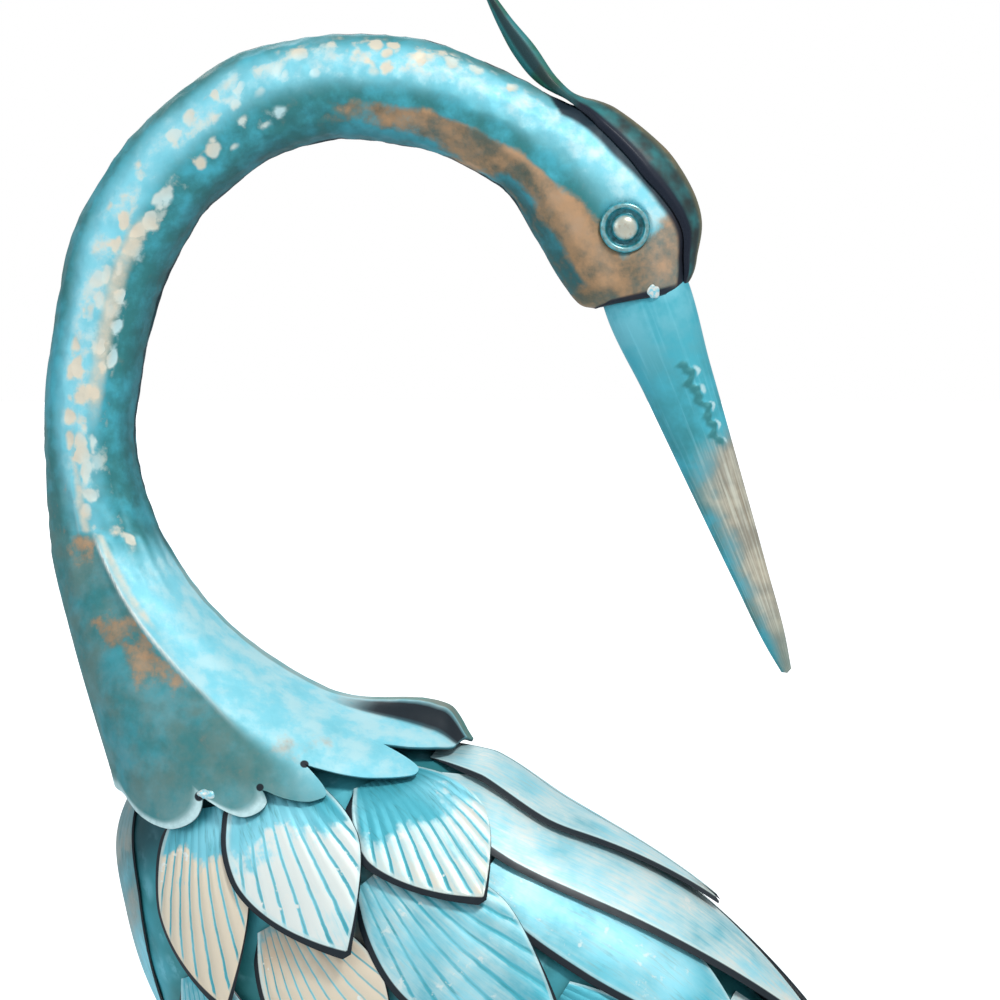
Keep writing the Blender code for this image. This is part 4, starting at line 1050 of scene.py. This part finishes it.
def buildBill():
    # ovals along the axis: height times cosine up, width times sine sideways, and the welds on top
    rim = neckRing(np.full(3, gooseneck["rim"]), np.array((0.0, 90.0, 180.0)))
    middle = (rim[0] + rim[2]) / 2
    inset = gooseneck["wall"] + bill["socketGap"]
    tall = np.linalg.norm(rim[2] - rim[0]) / 2 - inset
    broad = abs(rim[1][1]) - inset
    down, across = billAxis(), unit(rim[2] - rim[0])
    square = unit(across - down * (across @ down))
    a = np.linspace(bill["stations"][0], 1, bill["along"])[:, None]
    share = hermite(bill["stations"], bill["height"][:, None], a[:, 0])
    turn = np.linspace(0, 2 * np.pi, bill["around"], endpoint=False)[None, :]
    axis = unit(across + (square - across) * np.clip(a, 0, 1))[:, None, :]
    reach = middle + down * (a * bill["length"])
    wide = broad * (0.25 + 0.75 * share) * share**0.3

    # weld bead: overlapping drops along the side that the camera sees, and a rolled seam behind
    line = math.radians(288) + 1.6 * (a - bill["weldFrom"])
    wave = 0.075 * np.sin(a * 135) + 0.05 * np.sin(a * 57 + 1) + 0.03 * np.sin(a * 231)
    window = smooth(a, bill["weldFrom"] - 0.02, bill["weldFrom"]) * smooth(bill["weldTo"] - a, 0, 0.03)
    bead = np.exp(-((turn - line - wave) / (0.15 + 0.04 * np.sin(a * 270))) ** 2) * window
    gleam = np.exp(-((turn - line - wave - 0.26) / 0.12) ** 2) * window * (0.6 + 0.4 * np.sin(a * 135))
    # rolled seam, sunk in, with painted shade in its groove
    seamShade = np.exp(-((np.cos(turn) + 1) / 0.01)) * smooth(0.95 - a, 0, 0.1)
    lump = 1 + (bill["weldHeight"] * bead * (1 + 0.35 * np.sin(a * 320)) - 0.35 * seamShade) / (tall * share)
    rings = (reach[:, None, :] + axis * (tall * share * np.cos(turn) * lump)[..., None]
             + np.array((0, 1, 0)) * (wide * np.sin(turn) * lump)[..., None])
    points, faces = closedSkin(rings, reach[0], middle + down * (bill["length"] + 1.2))
    # painted shadow where the bill's root goes into the socket
    rootShadow = smooth(0.012 - a, 0, 0.02) + 0 * turn
    side = (1 + np.cos(turn)) / 2 + 0 * a
    masks = {
        "along": np.append(a + 0 * turn, [0, 1]), "side": np.append(side, [0, 1]),
        "weld": np.append(bead, [0, 0]), "gleam": np.append(gleam, [0, 0]),
        "shadow": np.append(np.maximum(rootShadow, 0.6 * seamShade + 0 * a), [1, 0]),
    }
    uv = np.stack([np.append(turn * 0.3 + 0 * a, [0, 0]), np.append(a * 2 + 0 * turn, [0, 2])], -1)
    putPiece("billCone", points, faces, ["bill"], paintBill(), masks, uv, 50)


# Eyes: a rolled ring, a valley and a dome, turned round the cheek's normal

def eyeSeat():
    # nearest spot of the cheek to the eye's middle, seen from the side, and its normal
    place, angle = np.meshgrid(np.linspace(14.6, 16.4, 181), np.linspace(70, 120, 201), indexing="ij")
    spot = neckRing(place, angle)
    miss = np.hypot(spot[..., 0] - eyes["centre"][0], spot[..., 2] - eyes["centre"][1])
    best = np.unravel_index(miss.argmin(), miss.shape)
    return spot[best], unit(liftedHead(place, angle, 0 * place + 1)[best] - spot[best])


def lathe(profile, centre, axis, sides):
    # radius and height along the axis, from the back's middle to the front's
    first = unit(np.cross(axis, (1, 0, 0.3)))
    second = np.cross(axis, first)
    turn = np.linspace(0, 2 * np.pi, sides, endpoint=False)
    radius, height = profile[1:-1, 0][:, None, None], profile[1:-1, 1][:, None, None]
    round = first * np.cos(turn)[:, None] + second * np.sin(turn)[:, None]
    return closedSkin(centre + axis * height + radius * round, centre + axis * profile[0, 1],
                      centre + axis * profile[-1, 1])


def paintEye():
    # glossy teal, cream on the dome, ink in the valley as painted shade
    graph = Graph("eyePaint")
    where = graph.place()
    fine = graph.noise(where, 500.0, 3.0)
    graph.colour = graph.mix(fine.between(0.3, 0.7), "deepTeal", "teal")
    graph.brush(graph.read("high") * 0.7, "cream")
    # painted shade in the valley round the dome
    graph.brush(graph.read("deep") * 0.6, "ink")
    graph.brush((graph.read("high") * fine).between(0.5, 0.7) * 0.5, "copper")
    return graph.finish(0.22 + fine * 0.2, 0.4, fine, 0.15, 0.0003, 0.6)


def buildEyes():
    # the profile is a cubic through its knots of radius and height
    centre, axis = eyeSeat()
    half, dome, top = eyes["half"], eyes["dome"], eyes["raise"]
    knots = np.array([
        (0, -1.9), (half, -1.9), (half, -0.2), (half - 0.35, 0.55), (half - 1.2, 1.0), (half - 2.1, 0.75),
        (half - 2.8, 0.0), (dome + 0.7, -0.5), (dome + 0.1, -0.35), (dome - 0.15, 0.5),
        (dome * 0.86, top * 0.55), (dome * 0.62, top * 0.82), (dome * 0.3, top * 0.97), (0, top),
    ])
    knotsAt = np.arange(len(knots))
    fine = np.linspace(2, len(knots) - 1, 70)
    profile = np.concatenate([knots[:2], hermite(knotsAt, knots.astype(float), fine)])
    profile[-1] = (0, top)
    material = paintEye()
    radius, height = profile[1:-1, 0], profile[1:-1, 1]
    high = np.maximum(smooth(height, 1.2, 3.0), 0.3 * smooth(height, 0.55, 0.95) * (radius > dome))
    # deep marks the valley, which takes the painted shade
    deep = smooth(0.35 - height, 0, 0.5) * smooth(half - 0.2 - radius, 0, 0.4)
    for side, word in ((-1, "left"), (1, "right")):
        seat, way = (np.array((v[0], side * abs(v[1]), v[2])) for v in (centre, axis))
        points, faces = lathe(profile, seat, way, eyes["sides"])
        masks = {
            "high": np.append(np.repeat(high, eyes["sides"]), [0, 1]),
            "deep": np.append(np.repeat(deep, eyes["sides"]), [1, 0]),
        }
        putPiece(f"eyeDisc_{word}", points, faces, [f"eye_{word}"], material, masks, angle=60)


# Tail: long narrow sheets fanned from the end of the body

tail = {
    "count": 5,
    "start": 0.81,
    "fan": 0.17,
    "length": 138.0,
    "halfWidth": 12.0,
    "along": 72,
    "across": 29,
    "looks": ("longBlue", "long", "longCream", "long", "longBlue"),
}


def buildTail(material):
    # flat leaf along a, as wide across b as leafWidth says, bowed up by 1 - b squared
    first = shellSpan * tail["start"]
    for number in range(tail["count"]):
        fan = number - (tail["count"] - 1) / 2
        order = 2 * ((tail["count"] - 1) / 2 - abs(fan)) + (fan > 0)
        start = overBody(first, 0.0, figure["sheetGap"] + figure["lap"] * order)
        ahead = unit(unit(bodySteps(first, 0.0)[0]) + np.array((0, tail["fan"] * fan, 0)))
        normal = unit(np.cross(ahead, (0, 1, 0)))
        normal = normal * np.sign(normal[2])
        across = np.cross(normal, ahead)
        a = np.linspace(0, 0.9985, tail["along"])[:, None]
        b = np.linspace(-1, 1, tail["across"])[None, :]
        offset = b * leafWidth(a) * tail["halfWidth"]
        bow = 0.5 * (1 - b**2) * smooth(a, 0.05, 0.3) * smooth(1 - a, 0, 0.3)
        run = a * tail["length"]
        low = start + ahead * run[..., None] + across * offset[..., None] + normal * bow[..., None]
        points, faces = leafShell(low + normal * figure["sheet"], low)
        gap = np.minimum((1 - np.abs(b)) * leafWidth(a) * tail["halfWidth"], (1 - a) * tail["length"] * 0.6)
        masks = leafMasks(offset.shape, tail["looks"][number], a, b, gap)
        uv = leafPlaces(offset, run, number, number)
        name = f"tail_feather_{number + 1}"
        putPiece(f"{name}_sheet", points, faces, [name], material, masks, uv, 35)


# Thighs, legs, feet and base

stand = {
    "legLength": 403.6,
    "rod": 4.5,
    "knee": 7.5,
    "spacing": 39.0,
    "hub": 10.0,
    "hubHeight": 16.0,
    "hubSides": 56,
    "footX": 2.0,
    "toe": 58.0,
    "toeRod": 4.0,
    "touch": 0.3,
    "baseHalf": (140.0, 95.0),
    "baseThick": 8.0,
}


def tube(path, radii, rows, sides):
    # round rod of changing thickness along a smoothed path, closed at both ends
    path, radii = np.asarray(path, float), np.asarray(radii, float)
    knots = np.concatenate([[0], np.cumsum(np.linalg.norm(np.diff(path, axis=0), axis=1))])
    steps = np.linspace(0, knots[-1], rows)
    spine = hermite(knots, np.column_stack([path, radii]), steps)
    ahead = unit(np.gradient(spine[:, :3], axis=0))
    first = unit(np.cross(ahead, (0.0, 1.0, 0.02)))
    second = np.cross(ahead, first)
    turn = np.linspace(0, 2 * np.pi, sides, endpoint=False)[:, None]
    around = first[:, None, :] * np.cos(turn) + second[:, None, :] * np.sin(turn)
    return spine[:, None, :3] + spine[:, None, 3:] * around, steps / knots[-1], turn[:, 0]


def paintSteel():
    # dark paint, worn to bronze on high spots
    graph = Graph("steelPaint")
    where = graph.place()
    fine = graph.noise(where, 350.0, 4.0, 0.65)
    drift = graph.noise(where, 45.0, 4.0)
    graph.colour = graph.mix(drift.between(0.35, 0.65), (0.028, 0.03, 0.03, 1), (0.06, 0.052, 0.042, 1))
    graph.brush(fine.between(0.52, 0.68) * drift.between(0.4, 0.6) * 0.8, "umber")
    graph.brush(graph.read("worn") * fine.between(0.35, 0.6) * 0.9, "copper")
    graph.brush(drift.between(0.58, 0.74) * 0.5, "deepTeal")
    return graph.finish(0.42 + fine * 0.3, 0.45, fine, 0.3, 0.0005, 0.15)


def legPath(side):
    # hip, end of the thigh's sleeve, knee and ankle
    ground = -stand["legLength"]
    foot = side * stand["spacing"]
    hip = np.array((6, side * 30, 14.0))
    ankle = np.array((stand["footX"], foot, ground + stand["hubHeight"] + 2 * stand["touch"]))
    drop = hip[2] - ankle[2]
    shin = np.array((hip[0] + 0.04 * drop, (hip[1] + foot) / 2, hip[2] - 0.36 * drop))
    knee = np.array((hip[0] + 0.055 * drop, foot, hip[2] - 0.5 * drop))
    return hip, shin, knee, ankle


def joinShells(shells):
    # several closed skins as one mesh
    points, faces, start = [], [], 0
    for place, corner in shells:
        points.append(place)
        faces += [[start + n for n in face] for face in corner]
        start += len(place)
    return np.concatenate(points), faces


def buildLeg(side, word, teal, steel):
    # thigh: tapered tube with a seam and a rolled hem; rod: tube that swells at the knee
    hip, shin, knee, ankle = legPath(side)
    steps = np.array([0, 0.25, 0.5, 0.75, 0.92, 1])[:, None]
    rings, share, turn = tube(hip + steps * (shin - hip), (20, 19.5, 16, 11, 8.2, 7.5), 110, 72)
    middle = rings.mean(1, keepdims=True)
    dent = hammered(share[:, None] * 12, turn[None, :] / (2 * np.pi) * 9, 9, 5 + side)
    seamShade = np.exp(-((np.mod(turn - 1.6, 2 * np.pi) - np.pi) / 0.07) ** 2)[None, :] + 0 * dent
    swell = 1 - 0.02 * smooth(0.55 - dent, 0, 0.5) + 0.04 * seamShade * (1 + 0.3 * np.sin(share[:, None] * 260))
    hem = 1 + 0.08 * np.exp(-((share[:, None] - 0.985) / 0.012) ** 2)
    rings = middle + (rings - middle) * (swell * hem)[..., None]
    points, faces = closedSkin(rings, rings[0].mean(0), rings[-1].mean(0))
    # painted shade towards the sleeve's lower end and along its seam
    shade = smooth(share, 0.5, 1.0)[:, None] * 0.35 + 0.5 * seamShade
    masks = {"dent": np.append(dent, [1, 1]), "shade": np.append(shade, [0, 1])}
    putPiece(f"thighSleeve_{word}", points, faces, [f"thigh_{word}"], teal, masks)

    down, after = unit(knee - shin), unit(ankle - knee)
    ease = 4.4 * stand["knee"]
    path = [shin + down * stand["touch"], knee - down * ease, knee - down * ease / 3, knee + (0.8, 0, 0),
            knee + after * ease / 3, knee + after * ease, ankle]
    rod, joint = stand["rod"], stand["knee"]
    rings, share, turn = tube(path, (rod, rod, joint * 0.86, joint, joint * 0.86, rod, rod), 160, 40)
    middle = rings.mean(1, keepdims=True)
    radius = np.linalg.norm(rings - middle, axis=2, keepdims=True)
    wobble = 1 + 0.03 * softNoise(share[:, None] * 40, turn[None, :] * 1.2 / np.pi * 2, 7)[..., None]
    rings = middle + (rings - middle) * np.minimum(wobble, 1.02)
    points, faces = closedSkin(rings, rings[0].mean(0), rings[-1].mean(0))
    worn = smooth(radius[..., 0], rod + 0.4, joint)
    putPiece(f"legRod_{word}", points, faces, [f"leg_{word}"], steel,
             {"worn": np.append(worn, [0, 0])})


def buildFoot(side, word, steel):
    # hub turned from its profile, and toes as tubes that swell at each joint
    ground = np.array((stand["footX"], side * stand["spacing"], -stand["legLength"]))
    hub, high, touch = stand["hub"], stand["hubHeight"], stand["touch"]
    profile = np.array([
        (0, touch), (hub - 0.8, touch), (hub, touch + 0.8), (hub, high * 0.36), (hub * 0.97, high * 0.46),
        (hub * 0.86, high * 0.7), (hub * 0.7, high * 0.86), (5.8, high * 0.97), (5.2, high), (0, high),
    ])
    shells = [lathe(profile, ground, np.array((0.0, 0.0, 1.0)), stand["hubSides"])]
    rubbed = smooth(profile[1:-1, 1], high * 0.3, high * 0.5) * 0.6
    worn = [np.append(np.repeat(rubbed, stand["hubSides"]), [0, 0])]
    for heading, length in ((180, 1.0), (148, 0.92), (212, 0.92), (0, 0.6)):
        out = np.array((math.cos(math.radians(heading)), math.sin(math.radians(heading)), 0))
        reach = hub * 0.3 + np.array([0, 0.2, 0.36, 0.5, 0.64, 0.78, 0.9, 1.0]) * stand["toe"] * length
        thick = stand["toeRod"] * np.array([1.0, 0.96, 0.8, 0.94, 0.74, 0.84, 0.5, 0.12])
        lift = touch + 0.1 + thick * np.array([1.45, 1.25, 1.1, 1.0, 1.02, 1.0, 1.0, 1.0])
        path = [ground + out * r + (0, 0, h) for r, h in zip(reach, lift)]
        rings, share, turn = tube(path, thick, 90, 28)
        rings[..., 2] = np.maximum(rings[..., 2], ground[2] + touch)
        shells.append(closedSkin(rings, rings[0].mean(0), rings[-1].mean(0)))
        bump = (0.5 + 0.5 * np.cos((share - 0.02) * 22))[:, None] + 0 * turn
        worn.append(np.append(bump * 0.6, [0, 1]))
    points, faces = joinShells(shells)
    putPiece(f"footWelded_{word}", points, faces, [f"foot_{word}"], steel,
             {"worn": np.concatenate(worn)})


def buildBase(steel):
    # oval plate: flat under side, rounded upper edge, slightly uneven top
    bottom, thick = -figure["hipHeight"], stand["baseThick"]
    inset = np.array([0.6, 0.0, 0.0, 0.25, 0.8, 1.6, 2.6, *np.linspace(4, 90, 60)])
    high = np.array([0.0, 0.6, thick - 2.2, thick - 1.2, thick - 0.5, thick - 0.12, thick, *[thick] * 60])
    turn = np.linspace(0, 2 * np.pi, 160, endpoint=False)
    a, b = stand["baseHalf"]
    x = (a - inset)[:, None] * np.cos(turn)
    y = (b - inset)[:, None] * np.sin(turn)
    grain = 0.12 * softNoise(x * 0.11, y * 0.11, 2) * smooth(inset, 3, 10)[:, None]
    rings = np.stack([x, y, bottom + high[:, None] - np.abs(grain)], -1)
    points, faces = closedSkin(rings, np.array((0, 0, bottom)), np.array((0, 0, bottom + thick - 0.1)))
    worn = np.exp(-((inset - 0.9) / 0.8) ** 2)[:, None] + 0 * turn
    putPiece("basePlate", points, faces, ["base"], steel, {"worn": np.append(worn, [0, 0])})


buildCrest()
buildBill()
buildEyes()
buildTail(bpy.data.materials["featherPaint"])
print("crest, bill, eyes and tail done")
tealSleeve, darkSteel = bpy.data.materials["bodyPaint"], paintSteel()
for side, word in ((-1, "left"), (1, "right")):
    buildLeg(side, word, tealSleeve, darkSteel)
    buildFoot(side, word, darkSteel)
buildBase(darkSteel)
print("legs, feet and base done")


# Floor, light and camera

studio = {
    "azimuth": 5.5,
    "elevation": 2.5,
    "distance": 2.2,
    "aim": (0.0126, 0.0, 0.7056),
    "view": 0.42,              # width of the picture at the aim, in metres
    "floorRadius": 30.0,
    "floorSides": 96,
    "surround": (0.87, 0.94, 1.0, 1.0),     # what lights the figure
    "surroundShare": 0.5,
    # name, place, aim, size, power and colour
    "lights": [
        ("keyLight", (0.9, -1.2, 2.3), (-0.02, 0, 0.66), 0.4, 26, (1.0, 0.985, 0.96)),
        ("fillLight", (-1.5, -1.5, 1.3), (0, 0, 0.65), 1.0, 7, (0.95, 0.98, 1.0)),
        ("backLight", (-0.6, 1.7, 1.9), (0, 0, 0.6), 1.0, 12, (0.97, 0.99, 1.0)),
    ],
}


def buildFloor():
    # round floor that turns white with the distance, so that no horizon shows
    sides = studio["floorSides"]
    turn = np.linspace(0, 2 * np.pi, sides, endpoint=False)
    ring = np.stack([np.cos(turn), np.sin(turn), 0 * turn], -1) * studio["floorRadius"]
    mesh = bpy.data.meshes.new("floor")
    mesh.from_pydata(ring, [], [list(range(sides))])
    graph = Graph("floorPaint")
    where = graph.place()
    grain = graph.noise(where, 3.0)
    far = graph.add("ShaderNodeVectorMath", {"operation": "LENGTH"}, {0: where}, 1).between(0.5, 2.2)
    seen = graph.add("ShaderNodeLightPath", output="Is Camera Ray")
    graph.colour = graph.mix(grain * 0.3, (0.86, 0.87, 0.88, 1), (0.82, 0.83, 0.85, 1))
    mesh.materials.append(graph.finish(0.9, 0.0))
    graph.feed(graph.shader.inputs["Emission Color"], graph.mix(far * seen, (0, 0, 0, 1), (1, 1, 1, 1)))
    graph.shader.inputs["Emission Strength"].default_value = 1.0
    floor = bpy.data.objects.new("floor", mesh)
    bpy.context.scene.collection.objects.link(floor)


def addLight(name, place, target, size, power, colour):
    # square lamp, turned from its place to the target
    light = bpy.data.lights.new(name, "AREA")
    light.energy = power
    light.size = size
    light.color = colour
    lamp = bpy.data.objects.new(name, light)
    bpy.context.scene.collection.objects.link(lamp)
    lamp.location = place
    way = np.array(target, float) - place
    tilt = math.atan2(math.hypot(way[0], way[1]), -way[2])
    lamp.rotation_euler = (tilt, 0, math.atan2(way[0], -way[1]) + math.pi)


def buildStudio():
    # white where the camera looks past the figure, a softer blue white as light
    world = bpy.data.worlds.new("studio")
    world.use_nodes = True
    tree = world.node_tree
    background, seen = tree.nodes["Background"], tree.nodes.new("ShaderNodeLightPath")
    tint = tree.nodes.new("ShaderNodeMix")
    tint.data_type = "RGBA"
    tint.inputs[6].default_value = [c * studio["surroundShare"] for c in studio["surround"]]
    tint.inputs[7].default_value = (1, 1, 1, 1)
    tree.links.new(seen.outputs["Is Camera Ray"], tint.inputs[0])
    tree.links.new(tint.outputs[2], background.inputs["Color"])
    bpy.context.scene.world = world
    for light in studio["lights"]:
        addLight(*light)


def buildCamera():
    # the photo's viewpoint, from azimuth, elevation and distance
    a, e = math.radians(studio["azimuth"]), math.radians(studio["elevation"])
    back = np.array((math.sin(a) * math.cos(e), -math.cos(a) * math.cos(e), math.sin(e)))
    lens = bpy.data.cameras.new("camera")
    lens.sensor_width = 36
    lens.lens = 36 * studio["distance"] / studio["view"]
    camera = bpy.data.objects.new("camera", lens)
    bpy.context.scene.collection.objects.link(camera)
    camera.location = np.array(studio["aim"]) + back * studio["distance"]
    camera.rotation_euler = (math.pi / 2 - e, 0, a)
    bpy.context.scene.camera = camera


buildFloor()
buildStudio()
buildCamera()
bpy.context.scene.view_settings.view_transform = "Standard"
